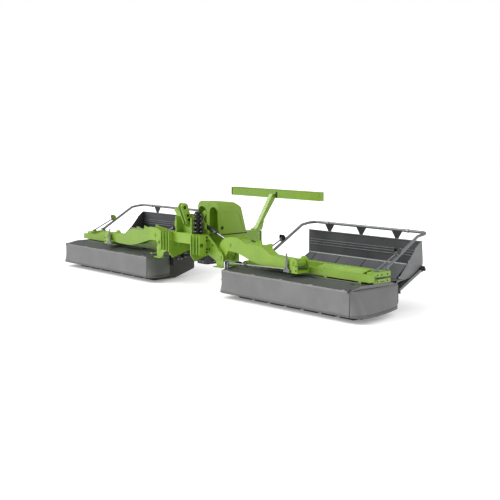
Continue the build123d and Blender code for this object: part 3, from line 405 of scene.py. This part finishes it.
mesh_piece("hood_beads", beads, lime_coat, "headstock", 60)
mesh_piece("hood_screws", screws, zinc_steel, "headstock")

# Light bar: folded steel channel on a box-tube mast, clamped by a black strap. Its
# edges are turned forward; the mast stands on gussets, and a bolted plate closes the
# rails' rear end under it.
(bar_low_x, bar_front, bar_low_z), (bar_high_x, bar_rear, bar_high_z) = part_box("light_bar")
bar_front, bar_rear = bar_front - front, bar_rear - front
strap = slab(rounded(0.075, 0.108, bar_low_z + 0.004, bar_high_z - 0.05, 0.008),
             bar_front - 0.012, bar_front + 0.001, 1)
mesh_piece("mast_strap", [strap], moulded_black, "headstock")
lips = [slab(rounded(bar_low_x + 0.002, bar_high_x - 0.002, z, z + 0.009, 0.003, 2),
             bar_front - 0.005, bar_front + 0.001, 1, 0.001)
        for z in (bar_low_z + 0.001, bar_high_z - 0.010)]
lips += [slab(rounded(x - 0.006, x + 0.006, bar_front - 0.016, bar_front + 0.001, 0.003, 2),
              bar_low_z + 0.002, bar_high_z - 0.002, 2, 0.001)
         for x in (bar_low_x + 0.007, bar_high_x - 0.007)]
mesh_piece("bar_lips", lips, lime_coat, "headstock")
mast_bolts = []
for x in (-0.062, 0.062):
    for z in (bar_low_z + 0.03, bar_low_z + 0.09):
        mast_bolts += bolt(put((x, bar_front, z)), (0, -1, 0), 0.010)
for x in (-0.075, 0.075):
    for y in (1.895, 1.945):
        mast_bolts += bolt(put((x, y, 1.082)), (0, 0, 1), 0.011)
mesh_piece("mast_bolts", mast_bolts, zinc_steel, "headstock")
fin = [(1.880, 1.0605), (2.060, 1.0605), (2.115, 1.250), (2.050, 1.215)]
ear = [(1.700, 0.905), (1.955, 0.770), (1.985, 0.770), (1.985, 1.055), (1.700, 1.055)]
end_plate = slab(rounded(-0.150, 0.150, 0.760, 1.0600, 0.015), 1.963, 1.973, 1)
gussets = ([slab(fin, x - 0.006, x + 0.006, 0, 0.0015) for x in (-0.062, 0.062)]
           + [slab(ear, x - 0.005, x + 0.005, 0, 0.0015) for x in (-0.118, 0.118)])
mesh_piece("mast_gussets", gussets + [end_plate], lime_coat, "headstock")
rail_bolts = []
for x in (-0.085, 0.085):
    for z in (0.800, 0.900, 1.010):
        rail_bolts += bolt(put((x, 1.973, z)), (0, 1, 0), 0.012)
for x in (-0.123, 0.123):
    for y, z in ((1.750, 1.000), (1.900, 0.930), (1.900, 1.010)):
        rail_bolts += bolt(put((x, y, z)), (np.sign(x), 0, 0), 0.013)
mesh_piece("rail_bolts", rail_bolts, zinc_steel, "headstock")

# Lamps: injection-moulded acrylic, clear-coloured and glossy; the relief stands for
# the prisms inside the lens, 12 mm wide. They are screwed into the channel's ends.
lamp_red = surface("Red lamp acrylic", "#a01515", "#860e0e", 0.1, 0.12, grain=0.012, bump=0.6)
finish_on(lamp_red, "tail_lamps")
lamp_amber = surface("Amber lamp acrylic", "#d07a14", "#b9660d", 0.1, 0.12, grain=0.012,
                     bump=0.6)
lens = [(0, 0), (0, 0.034), (0.010, 0.034), (0.020, 0.028), (0.026, 0.012), (0.027, 0)]
markers = [turned(lens, put((1.075, bar_rear - 0.114, 0.5 * (bar_low_z + bar_high_z)), sign),
                  (0, 1, 0), 28) for sign in (1, -1)]
mesh_piece("marker_lamps", markers, lamp_amber, "headstock")

# Parking leg: drawn square tube in a sleeve, held by a cross pin with a spring ring.
# Leg, pin and ring are zinc-plated.
leg_pin = [carried(put([(-0.480, 1.500, 0.985), (-0.340, 1.500, 0.985)]), 0.011, 14)]
turn = np.linspace(-0.2, 2 * np.pi - 0.7, 26)[:, None]
ring = (-0.484, 1.500, 0.962) + 0.024 * np.hstack([0 * turn, np.sin(turn), np.cos(turn)])
leg_pin.append(carried(put(ring), 0.003, 8))
mesh_piece("leg_pin", leg_pin, zinc_steel, "parking_leg")

# Arms: gooseneck weldments of laser-cut plate. Each turns on a hinge pin at the
# headstock, carries the lift cylinder's eye pin and holds its unit at the tilt pin.
eye_x, eye_z = 1.190, 0.985
tilt_x, tilt_z = 2.910, 0.825
for side, sign in sides:
    eyes = [cap(put((eye_x, y, eye_z), sign), (0, way, 0), 0.034, 0.008)
            for y, way in ((0.2102, -1), (0.4298, 1))]
    mesh_piece(side + "_eye_caps", eyes, lime_coat, side + "_arm")
    tilt = [cap(put((tilt_x, y, tilt_z), sign), (0, way, 0), 0.042, 0.010)
            for y, way in ((0.170, -1), (0.470, 1))]
    mesh_piece(side + "_tilt_caps", tilt, lime_coat, side + "_unit")

# Lift cylinders: honed tube with a rolled black coat, a screwed gland at the rod's
# end, and ports at the base. The rod is hard-chromed and ground: dark, with a narrow
# bright line.
cylinder_coat = surface("Black cylinder coat", "#313033", "#242326", 0.1, 0.3, grain=0.005,
                        bump=0.06)
finish_on(cylinder_coat, *both("lift_barrel"))
hard_chrome = surface("Hard chrome, ground", "#8d8b90", "#7b797e", 0.05, 0.32, metallic=1.0,
                      grain=0.003, bump=0.04)
finish_on(hard_chrome, *both("lift_rod"))
base = np.array((0.100, 0.320, 1.364))
eye = np.array((eye_x, 0.320, eye_z))
reach = (eye - base) / np.linalg.norm(eye - base)
gland = [(0.560, 0.0400), (0.563, 0.0445), (0.612, 0.0445), (0.622, 0.036), (0.622, 0.0206)]
base_ring = [(0.075, 0.0400), (0.078, 0.0435), (0.112, 0.0435), (0.115, 0.0400)]
port = [(-0.006, 0), (-0.006, 0.014), (0.012, 0.014), (0.012, 0.009), (0.018, 0.009),
        (0.018, 0)]
for side, sign in sides:
    way = reach * (sign, 1, 1)
    rings = [turned(profile, put(base, sign), way, 32) for profile in (gland, base_ring)]
    mesh_piece(side + "_gland", rings, cylinder_coat, side + "_lift_barrel")
    ports = [turned(port, put(base + along * reach + (0, -0.040, 0), sign), (0, -1, 0), 6)
             for along in (0.095, 0.585)]
    mesh_piece(side + "_ports", ports, zinc_steel, side + "_lift_barrel")

# Beams, foot plates and end blocks of the units: welded tube and plate, bolted down
# to the deck's saddles. Each slot in the end block's plates is drawn as a thin dark plate
# on its face, painted shade; the cover plate has three pressed ribs.
deck_top = 0.590
unit_inner, unit_outer = 1.200, 4.400
for side, sign in sides:
    beam_bolts = []
    for x in (1.480, 2.100, 3.400, 4.185):
        for y in (0.465, 0.635, 0.815, 0.965):
            beam_bolts += bolt(put((x, y, deck_top), sign), (0, 0, 1), 0.011)
    for y, z in ((0.680, 0.730), (0.790, 0.730), (0.930, 0.730), (0.680, 0.625),
                 (0.930, 0.625)):
        beam_bolts += bolt(put((unit_outer, y, z), sign), (sign, 0, 0), 0.011)
    for x in (2.820, 3.000):
        for z in (0.700, 0.780):
            beam_bolts += bolt(put((x, 0.170, z), sign), (0, -1, 0), 0.010)
    for y in (0.200, 0.450, 0.700):
        beam_bolts += bolt(put((1.238, y, 0.612), sign), (0, 0, 1), 0.009)
    mesh_piece(side + "_beam_bolts", beam_bolts, black_oxide, side + "_unit")
    # Thin dark plates on the end face: painted shade where each slot opens.
    slot_shades = [slab(rounded(y0, y1, z0, z1, 0.006), unit_outer - 0.0010, unit_outer + 0.0012,
                  0, 0.0004, sign)
             for y0, y1, z0, z1 in ((0.705, 0.905, 0.664, 0.682), (0.640, 0.662, 0.640, 0.705),
                                    (0.750, 0.860, 0.612, 0.626))]
    mesh_piece(side + "_end_slot_shades", slot_shades, cast_iron, side + "_unit")
    ribs = [turned([(0, 0), (0.004, 0.008), (1.020, 0.008), (1.024, 0)],
                   put((3.080, y, z), sign), (sign, 0, 0), 12)
            for y, z in ((0.665, 0.7486), (0.725, 0.7600), (0.785, 0.7714))]
    mesh_piece(side + "_cover_ribs", ribs, lime_coat, side + "_unit", 60)

# Aprons and skirts: sheets of PVC-coated polyester, 5 mm, calendered and cut from
# the roll, with a welded hem at the foot. They hang from hinged or riveted rails.
# The coat is a half-matt grey whose 10 mm unevenness gives a soft, broken sheen.
cloth_finish = dict(grain=0.010, bump=0.10, dust_height=0.3)
apron_cloth = surface("Coated apron cloth", "#838384", "#767677", 0.5, 0.52, **cloth_finish)
# A darker grey for the band over the cloth's lowest rows.
foot_band_cloth = surface("Darker cloth at the foot", "#6a6a6b", "#5f5f60", 0.5, 0.5, **cloth_finish)
# Hot-dip galvanised strip: dull grey metal with small spangles
rail_steel = surface("Galvanised rail", "#9d9e9b", "#888987", 0.05, 0.48, metallic=0.5,
                     grain=0.005, bump=0.1)


def cloth_piece(name, grid, body, node):
    """Sheet from an open grid of points (rows go up, columns along), 5 mm thick, and
    a hem over the lowest rows, 1 mm proud on either face and drawn in a darker grey."""
    hem_rows = 4
    hem = mesh_piece(name + "_hem", [grid[:hem_rows]], foot_band_cloth, body,
                     80, True)
    cloth = mesh_piece(name, [grid], apron_cloth, body, 80, True)
    for piece, thick in ((cloth, 0.005), (hem, 0.007)):
        layer = piece.modifiers.new("thickness", "SOLIDIFY")
        layer.thickness = thick
        layer.offset = 0.0
    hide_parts(node)
    return cloth


apron_foot, apron_head = 0.105, 0.535
apron_width, apron_drop = unit_outer - unit_inner, apron_head - apron_foot
levels = np.concatenate([np.linspace(0.0, 0.120, 4), np.linspace(0.20, 1.0, 9)])[:, None]
knuckle = [(0, 0), (0, 0.0055), (0.001, 0.006), (0.079, 0.006), (0.080, 0.0055), (0.080, 0)]
for side, sign in sides:
    # Two sine waves along the foot that die out towards the rail
    along = np.linspace(0.0, 1.0, 161)[None]
    swing = (0.0022 * np.sin(2 * np.pi * (4.5 * along + 0.2 * sign))
             + 0.0011 * np.sin(2 * np.pi * (11.3 * along + 0.4 + 0.2 * levels)))
    grid = np.stack([unit_inner + apron_width * along + 0 * levels,
                     0.004 + swing * (1.0 - levels) ** 1.3,
                     apron_foot + apron_drop * levels + 0 * along], axis=-1)
    cloth_piece(side + "_apron", put(grid, sign), side + "_front_apron",
                side + "_front_apron")
    rail = [turned(knuckle, put((x, 0.004, 0.543), sign), (sign, 0, 0), 16)
            for x in 1.300 + 0.730 * np.arange(5)]
    rail.append(slab(rounded(unit_inner + 0.002, unit_outer - 0.002, 0.5205, 0.5370, 0.002, 2),
                     0.0002, 0.0078, 1, 0.001, sign))
    rivets = [cap(put((x, 0.0004, 0.5285), sign), (0, -1, 0), 0.0055, 0.0025)
              for x in np.arange(1.325, 4.35, 0.25)]
    mesh_piece(side + "_apron_rail", rail, rail_steel, side + "_front_apron")
    mesh_piece(side + "_apron_rivets", rivets, black_oxide, side + "_front_apron")


def arc(start, way, end, count):
    """Points on the circle through three plan points, from the first to the last."""
    (ax, ay), (bx, by), (cx, cy) = start, way, end
    d = 2 * (ax * (by - cy) + bx * (cy - ay) + cx * (ay - by))
    a, b, c = ax * ax + ay * ay, bx * bx + by * by, cx * cx + cy * cy
    centre = np.array([(a * (by - cy) + b * (cy - ay) + c * (ay - by)) / d,
                       (a * (cx - bx) + b * (ax - cx) + c * (bx - ax)) / d])
    first, last = np.array(start) - centre, np.array(end) - centre
    sweep = np.arctan2(first[0] * last[1] - first[1] * last[0], first @ last)
    turn = sweep * np.linspace(0.0, 1.0, count)[:, None]
    return centre + first * np.cos(turn) + np.array([-first[1], first[0]]) * np.sin(turn)


# Side skirts: the same cloth, cut as curved strips so that their foot flares out
# past the unit; each hangs from a stiff lip in the same grey, riveted to the deck.
widest = 0.220                              # y where a skirt stands out farthest
skirt_front = 0.0083
# edge x, way out, rear y, bulge at the foot and at the head, the lip's two faces
for part, edge, out, rear, bulge_foot, bulge_head, faces in (
        ("outer", unit_outer, 1, 1.210, 0.230, 0.040, (4.3925, 4.4115)),
        ("inner", unit_inner, -1, 0.590, 0.165, 0.015, (1.1960, 1.2075))):
    early = 0.30 * widest
    late = (widest + rear) / 2 - 0.06 * (rear - widest)
    curves = []
    for bulge in (out * bulge_foot, out * bulge_head):
        fore = arc((edge, skirt_front), (edge + 0.70 * bulge, early),
                   (edge + bulge, widest), 25)
        aft = arc((edge + bulge, widest), (edge + 0.74 * bulge, late), (edge, rear), 49)
        curves.append(np.concatenate([fore, aft[1:]]) - (0.004 * out, 0.0))
    foot, head = curves
    flat_grid = np.concatenate([
        foot + (head - foot) * levels[:, None],
        np.broadcast_to(apron_foot + apron_drop * levels[:, None],
                        (len(levels), len(foot), 1))], axis=-1)
    # Steps between neighbouring grid points, up the flare and along the foot
    rise, run = np.diff(flat_grid, axis=0)[:, :-1], np.diff(flat_grid, axis=1)[:-1]
    fraction = np.linspace(0.0, 1.0, len(foot))[None]
    drape = (0.0016 * np.sin(2 * np.pi * (3.1 * fraction + 0.1))
             * (1.0 - levels) * np.sin(np.pi * fraction))
    lip_outline = [(0.009, 0.5355), (rear - 0.002, 0.5355), (min(rear, 1.000), 0.589),
                   (0.300, 0.589)]
    outer_face = faces[1] if out > 0 else faces[0]
    for side, sign in sides:
        grid = flat_grid.copy()
        grid[..., 0] += drape
        cloth_piece(f"{side}_{part}_skirt", put(grid, sign), side + "_unit",
                    side + "_side_skirts")
        lip = slab(lip_outline, *faces, 0, 0.0015, sign)
        mesh_piece(f"{side}_{part}_lip", [lip], apron_cloth, side + "_unit")
        rivets = [cap(put((outer_face, y, 0.551), sign), (out * sign, 0, 0), 0.008, 0.004)
                  for y in np.arange(0.130, rear - 0.05, 0.180)]
        mesh_piece(f"{side}_{part}_rivets", rivets, rail_steel, side + "_unit")

# Decks and sloping guards: pressed steel sheet, dark satin coat, bolted to the
# cutterbar's end walls along the edges, with moulded black latches, a light edging
# strip along the beam's foot and a clasp at the apron's corner.
cover_sheet = surface("Dark cover sheet", "#505153", "#454648", 0.4, 0.42, grain=0.006,
                      bump=0.08, dust_height=0.6)
finish_on(cover_sheet, *both("deck", "rear_guard"))
on_deck = deck_top - 0.0005                 # pieces that lie on the deck sink in a little
for side, sign in sides:
    deck_places = [(x, 0.960) for x in np.linspace(1.270, 4.330, 10)]
    deck_places += [(x, y) for x in (1.290, 4.310) for y in (0.360, 0.560, 0.760)]
    deck_bolts = [grid for x, y in deck_places
                  for grid in bolt(put((x, y, deck_top), sign), (0, 0, 1), 0.009)]
    mesh_piece(side + "_deck_bolts", deck_bolts, zinc_steel, side + "_unit")
    latch = [cap(put((4.375, 0.040, 0.541), sign), (0, 0, 1), 0.018, 0.012)]
    latch += [slab(rounded(x - 0.045, x + 0.045, 0.325, 0.360, 0.008), on_deck, 0.5970, 2,
                   side=sign) for x in np.linspace(1.500, 4.150, 4)]
    mesh_piece(side + "_deck_latches", latch, moulded_black, side + "_unit")
    strip = slab(rounded(1.440, 4.230, 0.462, 0.478, 0.003, 2), on_deck, 0.6020, 2, 0.001,
                 sign)
    mesh_piece(side + "_deck_strip", [strip], rail_steel, side + "_unit")
    clasp = slab([(4.345, 0.505), (4.395, 0.505), (4.399, 0.548), (4.362, 0.548)],
                 -0.0045, -0.0005, 1, 0.001, sign)
    mesh_piece(side + "_apron_clasp", [clasp], moulded_black, side + "_front_apron")

# Cutterbar bolts, disc caps and blade bolts: the discs are forged and bolted on their
# hubs; each blade swings on a hardened shouldered bolt. Neighbouring discs stand a
# quarter turn apart.
disc_pitch, disc_y = 0.425, 0.500
bar_top, blade_bolt_z, blade_reach = 0.085, 0.1183, 0.152
for side, sign in sides:
    bar_bolts = []
    for i in range(7):
        x = 2.800 + (i - 3) * disc_pitch
        for dx in (-0.150, 0.150):
            for y in (0.380, 0.640):
                bar_bolts += bolt(put((x + dx, y, bar_top), sign), (0, 0, 1), 0.010)
        disc = f"{side}_disc_{i + 1}"
        hub_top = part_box(disc)[1][2] - 0.0005
        hub = bolt(put((x, disc_y, hub_top), sign), (0, 0, 1), 0.022)
        way = np.array((1.0, 0.0, 0.0) if i % 2 == 0 else (0.0, 1.0, 0.0))
        for end in (blade_reach, -blade_reach):
            hub += bolt(put((x, disc_y, blade_bolt_z), sign) + end * way, (0, 0, 1), 0.012)
        mesh_piece(disc + "_bolts", hub, zinc_steel, disc)
    mesh_piece(side + "_bar_bolts", bar_bolts, zinc_steel, side + "_unit")

# Cross-conveyors: endless belt of matt rubber on a cloth core with moulded cleats,
# round two turned steel drums, galvanised to a dull grey.
belt_rubber = surface("Belt rubber", "#2b2b2c", "#222223", 0.2, 0.7, grain=0.004, bump=0.3)
finish_on(belt_rubber, *both("conveyor_belt"))
light_tube = surface("Galvanised tube", "#8e908f", "#7a7c7b", 0.05, 0.50, metallic=0.4,
                     grain=0.005, bump=0.1)
finish_on(light_tube, *both("belt_rollers"))
belt_low = np.array((1.420, 0.375))         # y and z of the lower drum
run = np.array((0.640, 0.315))              # to the upper drum
square = np.array((-run[1], run[0])) / np.linalg.norm(run)
belt_half, cleat_height = 0.0505, 0.062
for side, sign in sides:
    cleats = []
    for x in np.arange(1.600, 4.100, 0.250):
        for way in (1, -1):
            rows = []
            for t, lift in ((0.02, 0.050), (0.03, cleat_height), (0.97, cleat_height),
                            (0.98, 0.050)):
                crest = belt_low + run * t + way * square * lift
                foot = belt_low + run * t + way * square * belt_half
                rows.append([(x - 0.012, *foot), (x - 0.006, *crest), (x + 0.006, *crest),
                             (x + 0.012, *foot)])
            cleats.append(put(rows, sign))
    mesh_piece(side + "_belt_cleats", cleats, belt_rubber, side + "_unit")

# Collector walls: pressed steel sheet with rolled ribs inside, whose crests and top
# flange are drawn in a light grey as a painted highlight; beads and folded stiffeners at
# the back, and a grey plate at the outer end.
wall_sheet = surface("Collector wall sheet", "#4f5053", "#434447", 0.4, 0.45, grain=0.006,
                     bump=0.1)
finish_on(wall_sheet, *both("collector_walls"))
# Light grey strips on the rib crests and the top flange: painted highlight.
rib_highlight = surface("Rib crest painted highlight", "#8f9092", "#7b7c7e", 0.12, 0.4, grain=0.006, bump=0.1)
plate_finish = surface("Grey side plate", "#88898b", "#7a7b7d", 0.3, 0.45, grain=0.006,
                       bump=0.1)
plate_outline = [(1.372, 0.508), (1.664, 0.790), (1.934, 1.096), (2.032, 1.168),
                 (2.068, 1.168), (2.100, 0.808), (2.092, 0.748), (1.760, 0.560)]
plate_face, wall_back = 4.2195, 2.0675
for side, sign in sides:
    ribs = [slab(rounded(1.452, 4.198, z - 0.0065, z + 0.0065, 0.004), 2.0485, 2.0515, 1,
                 0.001, sign) for z in (0.905, 0.955, 1.000)]
    ribs.append(slab(rounded(1.452, 4.198, 1.168, 1.1795, 0.004), 2.0440, 2.0520, 1, 0.001,
                     sign))
    mesh_piece(side + "_wall_ribs", ribs, rib_highlight, side + "_unit")
    plate = slab(plate_outline, 4.2158, plate_face, 0, 0.0015, sign)
    mesh_piece(side + "_side_plate", [plate], plate_finish, side + "_unit")
    stiff = [slab(rounded(1.480, 4.170, z - 0.016, z + 0.016, 0.012), wall_back, 2.0765, 1,
                  0.006, sign) for z in (0.830, 0.935, 1.040)]
    stiff += [slab(rounded(x - 0.022, x + 0.022, 0.762, 1.130, 0.006), wall_back, 2.0865, 1,
                   0.004, sign) for x in (1.530, 2.390, 3.260, 4.120)]
    mesh_piece(side + "_wall_stiffeners", stiff, wall_sheet, side + "_unit")
    wall_bolts = []
    for y, z in ((1.450, 0.600), (1.700, 0.850), (1.900, 1.060), (2.060, 1.140),
                 (2.070, 0.830)):
        wall_bolts += bolt(put((plate_face, y, z), sign), (sign, 0, 0), 0.008)
    for x in np.linspace(1.550, 4.100, 8):
        wall_bolts += bolt(put((x, 2.068, 1.155), sign), (0, 1, 0), 0.008)
    mesh_piece(side + "_wall_bolts", wall_bolts, zinc_steel, side + "_unit")

# Guard hoops: cold-bent steel tube with a smooth grey coat, its feet bolted to the end
# block and the inner saddle. Each brace is held by a clamp of two plates with a
# moulded star knob, and a clamp closes the conveyor's side tube.
grey_tube = surface("Grey coated tube", "#77797b", "#6b6d6f", 0.3, 0.26, grain=0.006,
                    bump=0.06)
finish_on(grey_tube, *both("guard_hoop"))
hoop_inner, hoop_outer = 1.510, 4.330       # x of the hoop's two legs
hoop_y, hoop_z = 2.090, 1.330               # the top tube
clamp_y, clamp_z = 1.262, 1.097
clamp = [(1.212, 1.118), (1.238, 1.136), (1.276, 1.130), (1.322, 1.086), (1.306, 1.040),
         (1.270, 1.018), (1.232, 1.036), (1.214, 1.070)]
star_profile = [(0, 0), (0, 0.013), (0.016, 0.013), (0.018, 0.034), (0.030, 0.034),
                (0.034, 0.026), (0.034, 0)]
swell = 1.0 + 0.10 * np.cos(np.arange(24) * 6 * 2 * np.pi / 24)     # six lobes
tube_clamp = [(-0.060, 0.0), (-0.058, 0.040), (0.000, 0.040), (0.006, 0.036), (0.006, 0)]
tube_knob = [(0.030, 0.0), (0.030, 0.014), (0.048, 0.014), (0.052, 0.026), (0.064, 0.026),
             (0.068, 0.020), (0.068, 0.0)]
tube_way = np.array((0.0, 0.874, 0.486))
for side, sign in sides:
    knobs, foot_bolts = [], []
    for x in (hoop_inner, hoop_outer):
        place = put((x, clamp_y, clamp_z), sign)
        star = turned(star_profile, place - (0, 0, 0.004), (0, 0, 1), 24)
        star[3:6] = place + (star[3:6] - place) * np.stack([swell, swell, np.ones(24)],
                                                           axis=1)
        knobs.append(star)
        for dx in (-0.024, 0.024):
            for y in (0.955, 1.000):
                foot_bolts += bolt(put((x + dx, y, 0.837), sign), (0, 0, 1), 0.007)
        plates = [slab(clamp, x + low, x + low + 0.006, 0, side=sign)
                  for low in (-0.034, 0.028)]
        if side == "right" and x == hoop_outer:     # this clamp alone is painted lime
            mesh_piece("right_clamp_plates", plates, lime_coat, "right_unit")
        else:
            knobs += plates
    tube_end = put((4.252, 2.060, 0.697), sign)
    knobs.append(turned(tube_clamp, tube_end, tube_way, 24))
    knobs.append(turned(tube_knob, tube_end - 0.028 * tube_way, (sign, 0, 0), 20))
    mesh_piece(side + "_star_knobs", knobs, moulded_black, side + "_unit")
    collars = [turned([(0, 0.0268), (0.001, 0.033), (0.049, 0.033), (0.050, 0.0268)],
                      put((x, hoop_y, hoop_z), sign), (sign, 0, 0), 24)
               for x in (1.900, 3.860)]
    mesh_piece(side + "_hoop_collars", collars, rail_steel, side + "_unit")
    brackets = []
    for part in (0.170, 0.457, 0.759):
        x = hoop_inner + part * (hoop_outer - hoop_inner)
        vee = [(x - 0.128, 1.322), (x - 0.020, 1.156), (x + 0.020, 1.156), (x + 0.128, 1.322)]
        brackets.append(slab(vee, 2.066, 2.078, 1, 0.002, sign))
    mesh_piece(side + "_hoop_brackets", brackets, moulded_black, side + "_unit")
    mesh_piece(side + "_hoop_bolts", foot_bolts, zinc_steel, side + "_unit")

# Level indicator's rod on the left unit: drawn steel, galvanised, with a moulded
# joint round it.
level = carried(put([(1.2525, 0.140, 0.6595), (2.010, 0.140, 0.6868), (2.768, 0.140, 0.7140)]),
                0.0125, 16)
mesh_piece("left_level_rod", [level], rail_steel, "left_unit", 60)
joint = turned([(0, 0), (0.002, 0.021), (0.055, 0.021), (0.057, 0.0)],
               put((1.700, 0.140, 0.6755)), (0.757, 0.0, 0.0137), 20)
mesh_piece("left_level_joint", [joint], moulded_black, "left_unit")

# Drive shafts: telescopic tubes under blow-moulded guards; a zinc-plated band clamps
# each end of the guard.
shaft_start = np.array((0.2763, drive_y, drive_z))
shaft_end = np.array((0.985, drive_y, 0.526))
length = np.linalg.norm(shaft_end - shaft_start)
shaft_way = (shaft_end - shaft_start) / length
for side, sign in sides:
    bands = [turned([(a, 0.0), (a, 0.050), (a + 0.010, 0.050), (a + 0.010, 0.0)],
                    put(shaft_start, sign), shaft_way * (sign, 1, 1), 24)
             for a in (0.150, length - 0.180)]
    mesh_piece(side + "_shaft_bands", bands, zinc_steel, side + "_drive_shaft")


# Studio: white paper floor under an even sky, with a soft key from the front and a
# fill from the side. What camera and mirror rays see of the paper is lifted towards
# white, less close under the object, so that its contact shadow stays.
floor_mesh = bpy.data.meshes.new("floor")
floor_mesh.from_pydata([(-60, -60, 0), (60, -60, 0), (60, 60, 0), (-60, 60, 0)], [],
                       [(0, 1, 2, 3)])
floor = bpy.data.objects.new("floor", floor_mesh)
bpy.context.scene.collection.objects.link(floor)
paper = bpy.data.materials.new("White studio paper")
paper.use_nodes = True
tree = paper.node_tree
tree.nodes.clear()
ray = add(tree, "ShaderNodeLightPath")
seen = add(tree, "ShaderNodeMath", {0: ray.outputs["Is Camera Ray"],
                                    1: ray.outputs["Is Glossy Ray"]}, operation="MAXIMUM")
seen = add(tree, "ShaderNodeMath", {0: seen.outputs[0],
                                    1: ray.outputs["Is Transmission Ray"]},
           operation="MAXIMUM")
glow_far, glow_close = 0.64, 0.22           # in the open, and under the object
open_sky = add(tree, "ShaderNodeAmbientOcclusion", Distance=0.9, samples=8)
clear = add(tree, "ShaderNodeMath", {0: open_sky.outputs["AO"]}, operation="MULTIPLY_ADD")
clear.inputs[1].default_value = glow_far - glow_close
clear.inputs[2].default_value = glow_close
glow_amount = add(tree, "ShaderNodeMath", {0: clear.outputs[0], 1: seen.outputs[0]},
                  operation="MULTIPLY")
glow = add(tree, "ShaderNodeEmission", {"Strength": glow_amount.outputs[0]},
           Color=(1, 1, 1, 1))
matt = add(tree, "ShaderNodeBsdfDiffuse", Color=linear("#f0f0f0"))
sum_shader = add(tree, "ShaderNodeAddShader", {0: matt.outputs[0], 1: glow.outputs[0]})
add(tree, "ShaderNodeOutputMaterial", {"Surface": sum_shader.outputs[0]})
floor_mesh.materials.append(paper)

sky = bpy.data.worlds.new("studio")
sky.use_nodes = True
bpy.context.scene.world = sky
tree = sky.node_tree
tree.nodes.clear()
ray = add(tree, "ShaderNodeLightPath")
soft_light = add(tree, "ShaderNodeBackground", Color=(1, 1, 1, 1), Strength=0.34)
white = add(tree, "ShaderNodeBackground", Color=(1, 1, 1, 1), Strength=1.0)
pick = add(tree, "ShaderNodeMixShader", {0: ray.outputs["Is Camera Ray"],
                                         1: soft_light.outputs[0], 2: white.outputs[0]})
add(tree, "ShaderNodeOutputWorld", {"Surface": pick.outputs[0]})

# Suns: turn about the vertical and lean from it in degrees, power, width in degrees
for name, turn, lean, power, spread in (("key", -45.0, 53.0, 2.5, 40.0),
                                        ("fill", 108.0, 53.0, 1.0, 40.0)):
    lamp = bpy.data.lights.new(name, "SUN")
    lamp.energy = power
    lamp.angle = np.radians(spread)
    lamp_object = bpy.data.objects.new(name, lamp)
    lamp_object.rotation_euler = (np.radians(lean), 0.0, np.radians(turn))
    bpy.context.scene.collection.objects.link(lamp_object)

# Camera at the photograph's place: 48.4 degrees round from the front, 7.2 up.
camera = bpy.data.cameras.new("camera")
camera.lens = 66.36
camera.sensor_width = 36.0
camera.clip_end = 200.0
camera_object = bpy.data.objects.new("camera", camera)
camera_object.location = (14.226, -12.070, 3.042)
camera_object.rotation_euler = (np.radians(90.0 - 7.168), 0.0, np.radians(48.376))
bpy.context.scene.collection.objects.link(camera_object)
bpy.context.scene.camera = camera_object
bpy.context.scene.view_settings.view_transform = "Standard"
